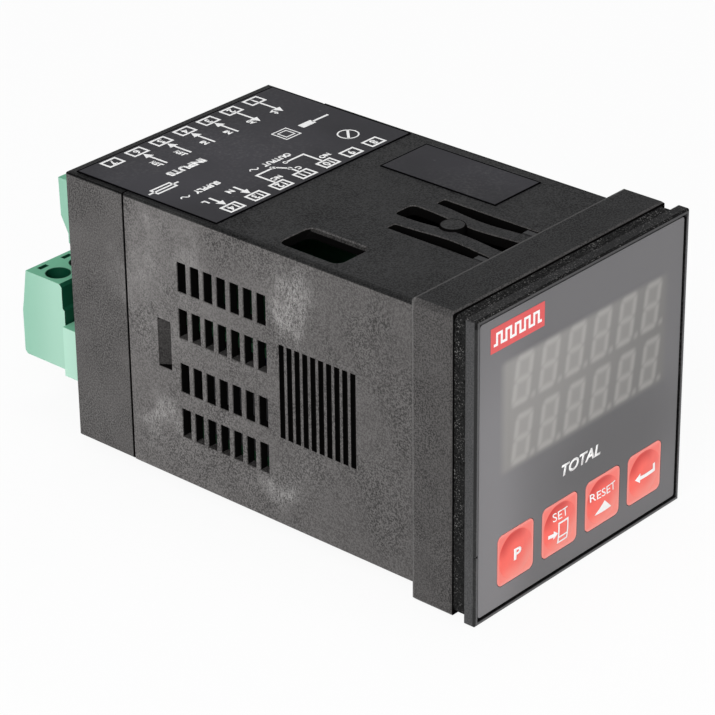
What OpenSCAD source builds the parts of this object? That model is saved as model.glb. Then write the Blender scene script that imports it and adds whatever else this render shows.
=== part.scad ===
// Panel counter with a square front, two digit rows, four keys and plug-in terminals.
// X runs to the right as seen from the front, Y from the front to the rear and Z up.
// The origin is the centre of the flange's rear face, which seats on the panel.
// All sizes are in millimetres.

/* [Front] */
// Side of the square front bezel
bezel_side = 48; // [47:0.5:56]
// Thickness of the bezel's plate
bezel_thick = 2; // [1.8:0.1:3]
// Chamfer round the bezel's front edge
bezel_edge = 0.3; // [0.1:0.05:0.5]
// Width of the rim round the foil
rim_width = 0.65; // [0.5:0.05:1.2]
// Gap between the foil and the rim
foil_gap = 0.4; // [0.1:0.05:0.6]
// Thickness of the front foil
foil_thick = 0.5; // [0.3:0.05:0.8]
// Depth of the foil's face behind the rim
foil_inset = 0.25; // [0.1:0.05:0.5]
// Thickness of the foam gasket
gasket_thick = 2.3; // [1:0.1:4]
// Distance of the gasket's outline inside the bezel's
gasket_inset = 0.6; // [0.3:0.1:1]

/* [Keys] */
// Space between two keys
key_space = 2; // [1:0.1:3]
// Height of a key
key_h = 8.2; // [7:0.1:9]
// Corner radius of a key
key_corner = 1; // [0.4:0.1:2]
// Distance of the outer key centres from the spigot's walls
key_side = 4.7; // [4.2:0.05:5.3]
// Shift of the row of keys to the right of the middle
key_x = 0.3; // [-0.5:0.1:0.5]
// Height of the key centres above the bezel's lower edge
key_rise = 8.15; // [7.8:0.05:10]
// Flat edge between a key's dome and its sides
dome_margin = 0.3; // [0.1:0.05:1]
// Rise of a key's dome
dome_rise = 0.4; // [0.2:0.05:0.8]
// Travel of a key
key_travel = 0.3; // [0.2:0.05:0.5]
// Gap round a key in the foil
key_gap = 0.1; // [0.05:0.05:0.3]
// Side of a square key switch
switch_side = 6; // [5:0.1:6.5]
// Height of a key switch
switch_h = 3.5; // [2.5:0.1:4]
// Radius of a switch plunger
plunger_r = 1.7; // [1.2:0.1:2]
// Radius of a key's stem
stem_r = 2; // [1.5:0.1:2.8]

/* [Display] */
// Gap between the digit rows' right end and the spigot
row_side = 0.3; // [0.2:0.05:1.4]
// Height of a digit row
row_h = 9.1; // [8.6:0.1:9.6]
// Depth of a digit row
row_depth = 6.9; // [5.5:0.1:7.5]
// Shift of the digit rows to the right of the middle
row_x = 0.8; // [-0.8:0.1:0.9]
// Distance of the joint between the digit rows below the bezel's upper edge
row_drop = 17.75; // [17.5:0.05:19]
// Gap between the digit rows and the foil
row_gap = 0.15; // [0.1:0.05:0.4]
// Digits in a row
digits = 6; // [4:1:6]
// Length of a digit row past its digits' places
row_ends = 2.1; // [1.5:0.1:3.5]
// Height of a digit
digit_h = 7.6; // [6:0.1:8]
// Gap between the segments of two digits
digit_gap = 1.95; // [1.6:0.05:2.8]
// Lean of the digits in degrees
digit_lean = 9; // [0:1:12]
// Width of a segment
segment_w = 0.75; // [0.4:0.05:1]
// Depth of a segment's well
segment_depth = 0.3; // [0.1:0.05:0.6]

/* [Housing] */
// Width of the ledge round the housing that seats on the panel
ledge = 1.65; // [1.5:0.05:2]
// Length of the housing behind the panel
case_len = 57; // [56:0.5:70]
// Wall of the housing
wall = 1.6; // [1.4:0.1:1.7]
// Chamfer along the housing's edges
case_edge = 0.4; // [0.1:0.05:0.8]
// Step of the flange inside the bezel's outline
flange_step = 0.05; // [0:0.05:0.3]
// Length of the flange
flange_len = 7.35; // [6.5:0.05:9]
// Chamfer along the flange's edges
flange_edge = 0.7; // [0.2:0.05:1]
// Wall of the spigot that carries the display board
spigot_wall = 0.9; // [0.8:0.05:1]
// Length of the spigot behind the panel
spigot_len = 1.2; // [0.5:0.1:2]

/* [Vents] */
// Rows of vent slots on a side
vent_rows = 4; // [2:2:4]
// Slots in a row
vent_cols = 7; // [3:1:7]
// Width of a slot
vent_w = 1.85; // [1:0.05:2.2]
// Height of a slot
vent_h = 4.9; // [3:0.1:5.5]
// Distance between slots
vent_pitch = 2.64; // [2.4:0.02:2.8]
// Distance between rows of slots
vent_row_pitch = 7.6; // [7:0.1:9]
// Distance between the two middle rows
vent_mid_pitch = 9; // [8:0.1:10]
// Place of the first slot's front edge
vent_y = 28.65; // [28:0.05:30]

/* [Clamp rack] */
// Place of the rack's front end
rack_y = 11.55; // [8:0.05:12]
// Teeth of the rack
rack_teeth = 10; // [4:1:10]
// Distance between teeth
rack_pitch = 1.52; // [1:0.02:1.56]
// Width of a tooth's crest
rack_crest = 0.45; // [0.2:0.05:0.6]
// Depth of the rack's grooves
rack_depth = 0.7; // [0.3:0.05:0.8]
// Height of the rack
rack_h = 15.2; // [8:0.1:18]

/* [Moulded spring] */
// Place of the spring's rear end
spring_end = 19.6; // [17:0.1:22]
// Half width over the spring's outer slots
spring_half = 6.5; // [6:0.1:8]
// Half width of the spring's middle opening
spring_mid = 2.1; // [1.8:0.1:2.4]
// Width of a spring strip
strip_w = 2.4; // [1.5:0.1:2.6]
// Bow of the strips towards the disc
strip_bow = 0.8; // [0.2:0.1:1]
// Radius of the spring's disc
disc_r = 1.9; // [1.7:0.1:2.4]
// Place of the disc
disc_y = 12.6; // [10:0.1:14]
// Rise of the disc above the wall
disc_rise = 0.3; // [0.1:0.05:0.6]
// Length of the middle opening past the strips' roots
spring_tail = 2.4; // [1.2:0.1:3]

/* [Top window] */
// Distance of the window from the housing's left side
window_margin = 2.15; // [1.9:0.05:3.4]
// Width of the window
window_w = 6.7; // [4:0.1:8]
// Place of the window's front edge
window_y = 16.5; // [10:0.1:18]
// Length of the window
window_len = 11.6; // [8:0.1:14]
// Corner radius of the window
window_corner = 1.5; // [0.5:0.1:1.9]
// Chamfer of the window's inner long edge
window_lip = 0.5; // [0.3:0.05:1]

/* [Rear cover] */
// Length of the rear cover
cover_len = 12.2; // [10:0.1:14]
// Wall of the rear cover
cover_wall = 2; // [1.9:0.05:2.4]
// Step of the rear cover inside the housing's outline
cover_step = 0.1; // [0.05:0.05:0.2]
// Chamfer along the rear cover's edges
cover_edge = 0.3; // [0.2:0.05:1]
// Seam between the housing and the rear cover
seam = 0.25; // [0.1:0.05:0.4]
// Wall of the lip inside the housing
lip_wall = 1.1; // [0.9:0.05:1.2]
// Length of the lip inside the housing
lip_len = 3; // [2:0.1:5]
// Place of the latch windows' front edge
latch_y = 48.05; // [47.5:0.05:49]
// Length of a latch window
latch_len = 2.75; // [2:0.05:3.5]
// Height of a latch window
latch_h = 8.1; // [6:0.1:10]
// Depth of the latch tongue's rear edge behind the wall
latch_sink = 0.1; // [0.05:0.05:0.8]

/* [Terminals] */
// Poles of a terminal row
poles = 7; // [2:1:7]
// Wall of a header
socket_wall = 0.9; // [0.7:0.05:1]
// Width of a header past its outer poles, on each side
socket_margin = 1.02; // [0.9:0.02:1.1]
// Length of a plug's nose
nose_len = 7.6; // [6:0.1:7.8]
// Side of a square contact pin
pin_side = 1; // [0.8:0.05:1.1]

/* [Lower terminals] */
// Distance between the lower poles
lower_pitch = 5.08; // [5:0.02:5.1]
// Height of the lower header's underside
lower_base = -15.5; // [-15.7:0.1:-15.1]
// Height of the lower header
lower_socket_h = 8.5; // [8.3:0.1:9]
// Distance of the lower header's rear end behind the cover
lower_reach = 6.2; // [6:0.1:8]
// Length of the lower plug's block
lower_block = 8.4; // [8:0.1:10]
// Height of the lower plug's block
lower_block_h = 14.7; // [14:0.1:15.5]
// Radius of a lower screw well
lower_well_r = 1.95; // [1.7:0.05:2.1]
// Width of a lower wire clamp
lower_clamp_w = 4; // [3.6:0.05:4.2]
// Height of a lower wire clamp
lower_clamp_h = 7.3; // [6:0.1:8]

/* [Upper terminals] */
// Distance between the upper poles
upper_pitch = 3.81; // [3.75:0.01:4]
// Height of the upper header's underside
upper_base = 4; // [3.9:0.1:5]
// Height of the upper header
upper_socket_h = 7.2; // [7:0.1:7.5]
// Distance of the upper header's rear end behind the cover
upper_reach = 2.9; // [2.8:0.1:5]
// Length of the upper plug's block
upper_block = 7; // [6.8:0.1:8]
// Height of the upper plug's block
upper_block_h = 11.1; // [10.5:0.1:12]
// Radius of an upper screw well
upper_well_r = 1.4; // [1.2:0.05:1.5]
// Width of an upper wire clamp
upper_clamp_w = 3; // [2.7:0.05:3.2]
// Height of an upper wire clamp
upper_clamp_h = 5.3; // [4.5:0.1:6]

/* [Labels] */
// Thickness of a label
label_thick = 0.15; // [0.05:0.05:0.3]
// Distance of the terminal label from the housing's sides
label_inset = 0.95; // [0.5:0.05:4]
// Place of the terminal label's front edge
label_y = 38.8; // [36:0.1:42]
// Margin between the terminal label and the cover's rear edge
label_margin = 1.7; // [0.8:0.1:3]
// Width of the blank label
blank_w = 10.65; // [6:0.05:11]
// Length of the blank label
blank_len = 22.1; // [10:0.1:23]
// Distance of the blank label from the housing's right side
blank_side = 2.5; // [1.5:0.1:3.5]
// Place of the blank label's front edge
blank_y = 12.3; // [8:0.1:14]

/* [Boards] */
// Thickness of the circuit boards
board_thick = 1.6; // [1.4:0.1:1.8]
// Length of a board rail
rail_len = 20; // [10:0.5:20]
// Height of a board rail
rail_h = 4; // [3.4:0.1:5]
// Grip of a rail on its board
rail_grip = 0.8; // [0.4:0.1:1]
// Distance of the transformer's core from the board's sides
core_side = 4.35; // [3.4:0.05:6.3]
// Length of the transformer's core
core_len = 25; // [22:0.5:26]
// Thickness of the transformer's core
core_h = 10.5; // [8:0.5:12]
// Width of the core's middle leg
core_leg = 10; // [8:0.5:11]
// Width of a window in the core
core_window = 5; // [4:0.1:5.5]
// Wall of the transformer's coil round the middle leg
coil_wall = 2.4; // [1.5:0.1:2.8]
// Width of the relay
relay_w = 10; // [7:0.1:11]
// Length of the relay
relay_len = 20; // [15:0.1:21]
// Height of the relay
relay_h = 15.4; // [10:0.1:16]
// Radius of a smoothing capacitor
cap_r = 4; // [3:0.1:4.2]
// Height of a smoothing capacitor
cap_h = 12; // [8:0.1:16]

/* [Hidden] */
$fn = 48;

// Working clearances
fit = 0.15;
over = 1;
graze = 0.05;

// Levels along Y
flange_front = -flange_len;
bezel_back = flange_front - gasket_thick;
bezel_front = bezel_back - bezel_thick;
foil_front = bezel_front + foil_inset;
foil_back = foil_front + foil_thick;
row_front = foil_back + row_gap;
board_front = row_front + row_depth;
board_back = board_front + board_thick;
switch_front = board_front - switch_h;
cover_front = case_len + seam;
cover_end = case_len + cover_len;

// Half widths
bezel_half = bezel_side / 2;
pocket_half = bezel_half - rim_width;
foil_half = pocket_half - foil_gap;
flange_half = bezel_half - flange_step;
case_half = bezel_half - ledge;
inner_half = case_half - wall;
spigot_half = inner_half - fit;
socket_half = spigot_half - spigot_wall;
cover_half = case_half - cover_step;
lip_half = inner_half - fit;
board_half = lip_half - lip_wall - fit;
label_half = case_half - label_inset;

// Heights of the keys and of the joint between the digit rows, and the window's left edge
key_z = key_rise - bezel_half;
row_z = bezel_half - row_drop;
window_x = window_margin - case_half;

// Keys, from left to right
key_names = ["p", "set", "reset", "enter"];
key_count = len(key_names);
key_pitch = 2 * (socket_half - key_side) / (key_count - 1);
key_w = key_pitch - key_space;
dome_r = min(key_w, key_h) / 2 - dome_margin;
plunger_out = 1.5;
switch_floor = 0.5;
plunger_end = board_front - switch_floor - key_travel - key_gap;
foil_corner = 0.5;

// Digit rows
row_w = 2 * (socket_half - row_x - row_side);
digit_pitch = (row_w - row_ends) / digits;
digit_w = digit_pitch - digit_gap;

// Posts and screws that hold the display board
post_side = 2;
post_z = [row_z + row_h + post_side + fit, (row_z - row_h + key_z + key_h / 2) / 2];
screw_r = 0.5;
screw_head_r = 1;
screw_head_h = 0.8;
screw_len = 4;

// Gate notch in the rim left of the keys
notch_rise = 3.1;
notch_w = 0.35;

// Snap hooks of the front bezel
hook_w = 1.1;
hook_x = (spring_half + spring_mid + strip_w) / 2;
hook_y = 0.3;
hook_flat = 3.4;
hook_len = 5;
hook_sink = 0.1;
slot_front = 0.3;
slot_round = 0.4;
tail_round = 1;

// Boards
signal_top = upper_base;
power_top = lower_base;
signal_z = signal_top - board_thick;
power_z = power_top - board_thick;
board_y = board_back + fit;
board_end = cover_end - cover_wall - fit;
rail_y = spigot_len + 2;
rail_depth = inner_half - board_half + rail_grip;

// Pieces on the boards
strip_pitch = 2.54;
strip_pin = 0.64;
link_ways = 10;
board_ways = 6;
chip_side = 10;
chip_h = 1.6;
chip_y = 46;
isolators = 5;
isolator_w = 4.6;
isolator_len = 6.5;
isolator_h = 4.6;
isolator_pitch = 7.5;
isolator_inset = 39;
isolator_y = board_end - isolator_inset;
part_gap = 1;
core_gap = 4;
core_w = 2 * (board_half - core_side);
core_y = rail_y + core_gap;
coil_gap = 0.1;
coil_h = core_h + 2 * (coil_wall + coil_gap);
core_z = power_top + coil_wall + coil_gap;
relay_inset = 9;
relay_end = board_end - relay_inset;
suppressor_size = [6, 13, 11];

// Terminal rows: the value of each list at UPPER and at LOWER
UPPER = 0;
LOWER = 1;
pitches = [upper_pitch, lower_pitch];
bases = [upper_base, lower_base];
socket_hs = [upper_socket_h, lower_socket_h];
ends = [cover_end + upper_reach, cover_end + lower_reach];
blocks = [upper_block, lower_block];
block_hs = [upper_block_h, lower_block_h];
block_lifts = [0.55, 0.45];
well_rs = [upper_well_r, lower_well_r];
clamp_ws = [upper_clamp_w, lower_clamp_w];
clamp_hs = [upper_clamp_h, lower_clamp_h];
clamp_screw_rs = [0.9, 1.25];
screw_head_hs = [1.5, 2];

// Places on a plug's block, measured from its front face and its top
well_insets = [3.4, 3.88];
test_slots = [[1.2, 0.5], [1.7, 0.7]];
test_insets = [6.1, 7.25];
step_drops = [3, 4];
rear_mids = [[-0.15, 6.3], [0.85, 5.5]];
rear_lows = [[-1.6, 9.1], [1.15, 7]];
block_round = 0.5;
front_step = 0.4;

// Header and plug clearances
header_depth = 4.5;
header_front = board_end - header_depth;
nose_gap = 0.3;
block_gap = 0.35;
plug_margins = [0.9, 0.12];

// A flat shape in X and Z, drawn out from y0 to y1
module slab_y(y0, y1) {
  translate([0, y1, 0])
    rotate([90, 0, 0])
      linear_extrude(y1 - y0)
        children();
}

// A flat shape in X and Y, drawn out from z0 to z1
module slab_z(z0, z1) {
  translate([0, 0, z0])
    linear_extrude(z1 - z0)
      children();
}

// A flat shape in Y and Z, drawn out from x0 to x1
module slab_x(x0, x1) {
  translate([x0, 0, 0])
    rotate([90, 0, 90])
      linear_extrude(x1 - x0)
        children();
}

// A box between two corners
module box(low, high) {
  translate(low)
    cube(high - low);
}

// A square of a half width with chamfered corners
module chamfer_square(half, cut) {
  polygon([
    [-half + cut, -half], [half - cut, -half], [half, -half + cut], [half, half - cut],
    [half - cut, half], [-half + cut, half], [-half, half - cut], [-half, -half + cut]
  ]);
}

// A rectangle with round corners
module round_rect(w, h, r) {
  square([w - 2 * r, h], center = true);
  square([w, h - 2 * r], center = true);
  for (sx = [-1, 1], sz = [-1, 1])
    translate([sx * (w / 2 - r), sz * (h / 2 - r)])
      circle(r);
}

// The side view of a square block with chamfers at its two ends
module end_profile(half, y0, y1, cut0, cut1) {
  polygon([
    [-half + cut0, y0], [half - cut0, y0], [half, y0 + cut0], [half, y1 - cut1],
    [half - cut1, y1], [-half + cut1, y1], [-half, y1 - cut1], [-half, y0 + cut0]
  ]);
}

// A square block along Y, chamfered along its sides and round both ends
module edged_block(half, y0, y1, side_cut, cut0, cut1) {
  intersection() {
    slab_y(y0, y1)
      chamfer_square(half, side_cut);
    slab_z(-half, half)
      end_profile(half, y0, y1, cut0, cut1);
    rotate([0, 90, 0])
      slab_z(-half, half)
        end_profile(half, y0, y1, cut0, cut1);
  }
}

// Centre of a key or of its switch
function key_at(i) = [key_x + (i - (key_count - 1) / 2) * key_pitch, 0, key_z];

// Front bezel: plate with the foil's pocket, a gate notch, windows, spigot, board posts and snap hooks
module front_bezel() {
  color("#2b2b2d")
  difference() {
    union() {
      edged_block(bezel_half, bezel_front, bezel_back, bezel_edge, bezel_edge, bezel_edge / 2);
      spigot();
    }
    slab_y(bezel_front - over, foil_back)
      square(2 * pocket_half, center = true);
    slab_y(bezel_front, bezel_back + over)
      translate([row_x, row_z])
        square([row_w + 2 * fit, 2 * row_h + 2 * fit], center = true);
    for (i = [0 : key_count - 1])
      translate(key_at(i))
        slab_y(bezel_front, bezel_back + graze)
          round_rect(key_w + 4 * key_gap, key_h + 4 * key_gap, key_corner);
    for (sx = [-1, 1], z = post_z)
      translate([sx * (socket_half - post_side / 2), 0, z])
        slab_y(board_back - screw_len, board_front + over)
          circle(screw_r);
    box([-bezel_half - over, bezel_front - over, key_z + notch_rise],
      [-pocket_half + graze, foil_front, key_z + notch_rise + notch_w]);
  }
}

// Square tube behind the bezel's plate, with posts for the board and hooks for the housing
module spigot() {
  slab_y(bezel_back - graze, spigot_len)
    difference() {
      square(2 * spigot_half, center = true);
      square(2 * socket_half, center = true);
    }
  for (sx = [-1, 1], z = post_z)
    translate([sx * (socket_half - post_side / 2), 0, z])
      slab_y(bezel_back - graze, board_front)
        square([post_side + graze, post_side], center = true);
  for (sx = [-1, 1], sz = [-1, 1])
    translate([sx * hook_x, 0, 0])
      mirror([0, 0, sz < 0 ? 1 : 0])
        snap_hook();
}

// Hook on an arm of the spigot, ramped at its rear
module snap_hook() {
  slab_x(-hook_w / 2, hook_w / 2)
    polygon([
      [spigot_len - over, spigot_half - spigot_wall], [hook_y + hook_len, spigot_half - spigot_wall],
      [hook_y + hook_len, spigot_half], [hook_y + hook_flat, case_half - hook_sink],
      [slot_front + fit, case_half - hook_sink], [slot_front + fit, spigot_half - graze],
      [spigot_len - over, spigot_half - graze]
    ]);
}

// Foam ring between the bezel and the housing's flange
module front_gasket() {
  color("#141414")
  slab_y(bezel_back, flange_front)
    difference() {
      chamfer_square(bezel_half - gasket_inset, flange_edge);
      square(2 * (inner_half + fit), center = true);
    }
}

// Printed foil with an opening for each key
module front_foil() {
  color("#6b6c6e")
  difference() {
    slab_y(foil_front, foil_back)
      round_rect(2 * foil_half, 2 * foil_half, foil_corner);
    for (i = [0 : key_count - 1])
      translate(key_at(i))
        slab_y(foil_front - over, foil_back + over)
          round_rect(key_w + 2 * key_gap, key_h + 2 * key_gap, key_corner + key_gap);
  }
}

// Key with a round dome on a flat pad and a stem down to its switch
module key(i) {
  dome_ball = (dome_r * dome_r + dome_rise * dome_rise) / (2 * dome_rise);
  color("#e14b41")
  translate(key_at(i)) {
    slab_y(foil_front, foil_back)
      round_rect(key_w, key_h, key_corner);
    intersection() {
      translate([0, foil_front - dome_rise + dome_ball, 0])
        sphere(dome_ball, $fn = 96);
      slab_y(foil_front - dome_rise - over, foil_back - graze)
        circle(dome_r);
    }
    slab_y(foil_back - graze, switch_front - plunger_out)
      circle(stem_r);
  }
}

// Plunger that a key pushes into its switch
module plunger(i) {
  color("#1c1c1c")
  translate(key_at(i))
    slab_y(switch_front - plunger_out, plunger_end)
      circle(plunger_r);
}

// Four switch bodies on the display board
module key_switches() {
  color("#3a3a3c")
  for (i = [0 : key_count - 1])
    translate(key_at(i))
      difference() {
        slab_y(switch_front, board_front)
          square(switch_side, center = true);
        slab_y(switch_front - over, board_front - switch_floor)
          circle(plunger_r + key_gap);
      }
}

// Board that carries the digits and the key switches
module display_board() {
  color("#2f6b45")
  difference() {
    slab_y(board_front, board_back)
      square(2 * (socket_half - fit), center = true);
    for (sx = [-1, 1], z = post_z)
      translate([sx * (socket_half - post_side / 2), 0, z])
        slab_y(board_front - over, board_back + over)
          circle(screw_r + key_gap);
  }
}

// Screws that hold the display board on the bezel's posts
module board_screws() {
  color("#b9bcc0")
  for (sx = [-1, 1], z = post_z)
    translate([sx * (socket_half - post_side / 2), 0, z]) {
      slab_y(board_back, board_back + screw_head_h)
        circle(screw_head_r);
      slab_y(board_back - screw_len + fit, board_back + graze)
        circle(screw_r - graze);
    }
}

// One segment lying along X, pointed at both ends
module segment(length) {
  half = length / 2;
  side = segment_w / 2;
  polygon([[-half, 0], [side - half, side], [half - side, side], [half, 0],
    [half - side, -side], [side - half, -side]]);
}

// Seven segments and a point, leaning to the right
module digit() {
  stroke = digit_w - segment_w;
  rise = (digit_h - segment_w) / 2;
  slit = segment_w / 4;
  multmatrix([[1, tan(digit_lean), 0, 0], [0, 1, 0, 0], [0, 0, 1, 0], [0, 0, 0, 1]]) {
    for (k = [-1, 0, 1])
      translate([0, k * rise])
        segment(stroke - slit);
    for (sx = [-1, 1], sz = [-1, 1])
      translate([sx * stroke / 2, sz * rise / 2])
        rotate(90)
          segment(rise - slit);
    translate([digit_w / 2 + segment_w, -rise])
      square(segment_w, center = true);
  }
}

// Row of digits with a well for each segment
module digit_row(z) {
  color("#8d8880")
  translate([row_x, 0, z])
    difference() {
      slab_y(row_front, board_front)
        square([row_w, row_h], center = true);
      slab_y(row_front - over, row_front + segment_depth)
        for (i = [0 : digits - 1])
          translate([(i - (digits - 1) / 2) * digit_pitch - segment_w / 2, 0])
            digit();
    }
}

// Housing: flanged square tube with vents, clamp racks, latch windows and moulded spring
module housing() {
  color("#343335") {
    difference() {
      union() {
        edged_block(flange_half, flange_front, 0, flange_edge, bezel_edge, bezel_edge);
        edged_block(case_half, flange_front, case_len, case_edge, 0, case_edge / 2);
      }
      slab_y(flange_front - over, case_len + over)
        square(2 * inner_half, center = true);
      slab_x(-case_half - over, case_half + over) {
        vent_pattern();
        translate([latch_y, -latch_h / 2])
          square([latch_len, latch_h]);
      }
      for (sx = [0, 1])
        mirror([sx, 0, 0])
          clamp_rack();
      top_window();
      slab_z(inner_half - over, case_half + over)
        spring_opening();
      for (sx = [-1, 1])
        translate([sx * hook_x, 0, 0])
          box([-hook_w / 2 - fit, slot_front, -case_half - over],
            [hook_w / 2 + fit, hook_y + hook_len + fit, -inner_half + over]);
    }
    translate([0, disc_y, inner_half])
      cylinder(r = disc_r, h = wall + disc_rise);
    for (sx = [0, 1], z = [signal_z, power_z])
      mirror([sx, 0, 0])
        board_rail(z + board_thick / 2);
  }
}

// Rows of vent slots, seen from the side
module vent_pattern() {
  for (row = [0 : vent_rows / 2 - 1], sz = [-1, 1], col = [0 : vent_cols - 1])
    translate([vent_y + col * vent_pitch, sz * (vent_mid_pitch / 2 + row * vent_row_pitch) - vent_h / 2])
      square([vent_w, vent_h]);
}

// Saw-tooth grooves in the right wall, steep towards the front
module clamp_rack() {
  groove = rack_pitch - rack_crest;
  slab_z(-rack_h / 2, rack_h / 2)
    for (i = [0 : rack_teeth - 1])
      translate([case_half, rack_y + i * rack_pitch])
        polygon([[over, 0], [0, 0], [-rack_depth, groove], [0, groove], [over, groove]]);
}

// Window in the top wall with round corners and one sloping long edge
module top_window() {
  middle = [window_x + window_w / 2, window_y + window_len / 2, 0];
  translate(middle)
    slab_z(inner_half - over, case_half + over)
      round_rect(window_w, window_len, window_corner);
  intersection() {
    translate(middle)
      slab_z(inner_half - over, case_half + over)
        round_rect(window_w + 2 * window_lip, window_len, window_corner);
    translate([window_x + window_w, window_y, case_half])
      rotate([-90, 0, 0])
        linear_extrude(window_len)
          polygon([[-over, -over], [window_lip, -over], [window_lip, 0], [-over, window_lip + over]]);
  }
}

// Half width of a strip's edge along the spring, drawn in at the disc
function strip_edge(at_ends, y) =
  at_ends - strip_bow * (1 - cos(360 * (y - slot_front) / (spring_end - slot_front))) / 2;

// Points of a round corner, a quarter turn from an angle on
function round_corner(x, y, r, from) =
  [for (i = [0 : 4]) [x + r * cos(from + 22.5 * i), y + r * sin(from + 22.5 * i)]];

// Opening round the two bowed strips of the moulded spring
module spring_opening() {
  steps = 12;
  tail = spring_end + spring_tail - tail_round;
  root = spring_end - slot_round;
  levels = [for (i = [0 : steps]) slot_front + (spring_end - slot_front) * i / steps];
  for (sx = [0, 1])
    mirror([sx, 0])
      polygon(concat(
        [[spring_half, slot_front]],
        round_corner(spring_half - slot_round, root, slot_round, 0),
        round_corner(spring_mid + strip_w + slot_round, root, slot_round, 90),
        [for (i = [steps - 1 : -1 : 0]) [strip_edge(spring_mid + strip_w, levels[i]), levels[i]]]
      ));
  polygon(concat(
    [for (i = [0 : steps]) [strip_edge(spring_mid, levels[i]), levels[i]]],
    round_corner(spring_mid - tail_round, tail, tail_round, 0),
    round_corner(tail_round - spring_mid, tail, tail_round, 90),
    [for (i = [steps : -1 : 0]) [-strip_edge(spring_mid, levels[i]), levels[i]]]
  ));
}

// Grooved rail on the right wall that holds a board's edge
module board_rail(z) {
  difference() {
    box([inner_half - rail_depth, rail_y, z - rail_h / 2],
      [inner_half + graze, rail_y + rail_len, z + rail_h / 2]);
    box([inner_half - rail_depth - over, rail_y - over, z - board_thick / 2 - fit],
      [board_half + fit, rail_y + rail_len + over, z + board_thick / 2 + fit]);
  }
}

// Rear cover: cap with header openings, a lip in the housing and two latch tongues
module rear_cover() {
  tongue_h = latch_h - 4 * fit;
  color("#333234") {
    difference() {
      edged_block(cover_half, cover_front, cover_end, cover_edge, cover_step, cover_edge);
      slab_y(cover_front - over, cover_end - cover_wall)
        square(2 * (cover_half - cover_wall), center = true);
      for (row = [UPPER, LOWER])
        header_opening(row);
    }
    slab_y(case_len - lip_len, cover_front + over)
      difference() {
        square(2 * lip_half, center = true);
        square(2 * (lip_half - lip_wall), center = true);
      }
    for (sx = [0, 1])
      mirror([sx, 0, 0])
        slab_z(-tongue_h / 2, tongue_h / 2)
          polygon([
            [lip_half - lip_wall, latch_y - fit], [lip_half, latch_y + fit],
            [case_half - latch_sink, latch_y + latch_len - fit], [lip_half, latch_y + latch_len - fit],
            [lip_half, case_len - lip_len + graze], [lip_half - lip_wall, case_len - lip_len + graze]
          ]);
  }
}

// Half width of a header, of a plug's nose and of a plug's block
function header_half(row) = poles * pitches[row] / 2 + socket_margin;
function nose_half(row) = header_half(row) - socket_wall - nose_gap / 2;
function block_half(row) = poles * pitches[row] / 2 + plug_margins[row];

// Places along Y and Z on a plug
function block_front(row) = ends[row] + block_gap;
function block_low(row) = bases[row] + block_lifts[row];
function block_top(row) = block_low(row) + block_hs[row];
function well_y(row) = block_front(row) + well_insets[row];
function clamp_low(row) = block_low(row) + socket_wall;
function clamp_top(row) = clamp_low(row) + clamp_hs[row];
function pin_z(row) = bases[row] + socket_hs[row] / 2;

// Copies of a shape at every pole
module at_poles(row) {
  for (i = [0 : poles - 1])
    translate([(i - (poles - 1) / 2) * pitches[row], 0, 0])
      children();
}

// Opening in the cover's rear wall for a header
module header_opening(row) {
  half = header_half(row) + fit;
  box([-half, header_front - fit, bases[row] - fit],
    [half, cover_end + over, bases[row] + socket_hs[row] + fit]);
}

// Header: open box on the board's rear edge that takes a plug's nose
module header(row) {
  half = header_half(row);
  low = bases[row];
  high = low + socket_hs[row];
  color("#5fb78d")
  difference() {
    box([-half, header_front, low], [half, ends[row], high]);
    box([-half + socket_wall, ends[row] - nose_len - nose_gap, low + socket_wall],
      [half - socket_wall, ends[row] + over, high - socket_wall]);
    at_poles(row)
      translate([0, 0, pin_z(row)])
        slab_y(header_front - over, ends[row])
          square(pin_side + 2 * graze, center = true);
  }
}

// Angled contact pins of a header, bent down to the board
module header_pins(row) {
  side = pin_side / 2;
  leg = header_front - fit - pin_side;
  color("#c9c6b8")
  at_poles(row) {
    box([-side, leg, pin_z(row) - side], [side, ends[row] - nose_len / 3, pin_z(row) + side]);
    box([-side, leg, bases[row]], [side, leg + pin_side, pin_z(row)]);
  }
}

// Side view of a plug's block: stepped front, rounded top edge and bent rear face
module block_profile(row) {
  front = block_front(row);
  rear = front + blocks[row];
  low = block_low(row);
  top = block_top(row);
  polygon([
    [front, low],
    [rear + rear_lows[row].x - block_round, low],
    [rear + rear_lows[row].x, low + block_round],
    [rear + rear_lows[row].x, top - rear_lows[row].y],
    [rear + rear_mids[row].x, top - rear_mids[row].y],
    [rear, top],
    [front + front_step + block_round, top],
    [front + front_step, top - block_round],
    [front + front_step, top - step_drops[row]],
    [front, top - step_drops[row] - front_step]
  ]);
}

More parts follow.
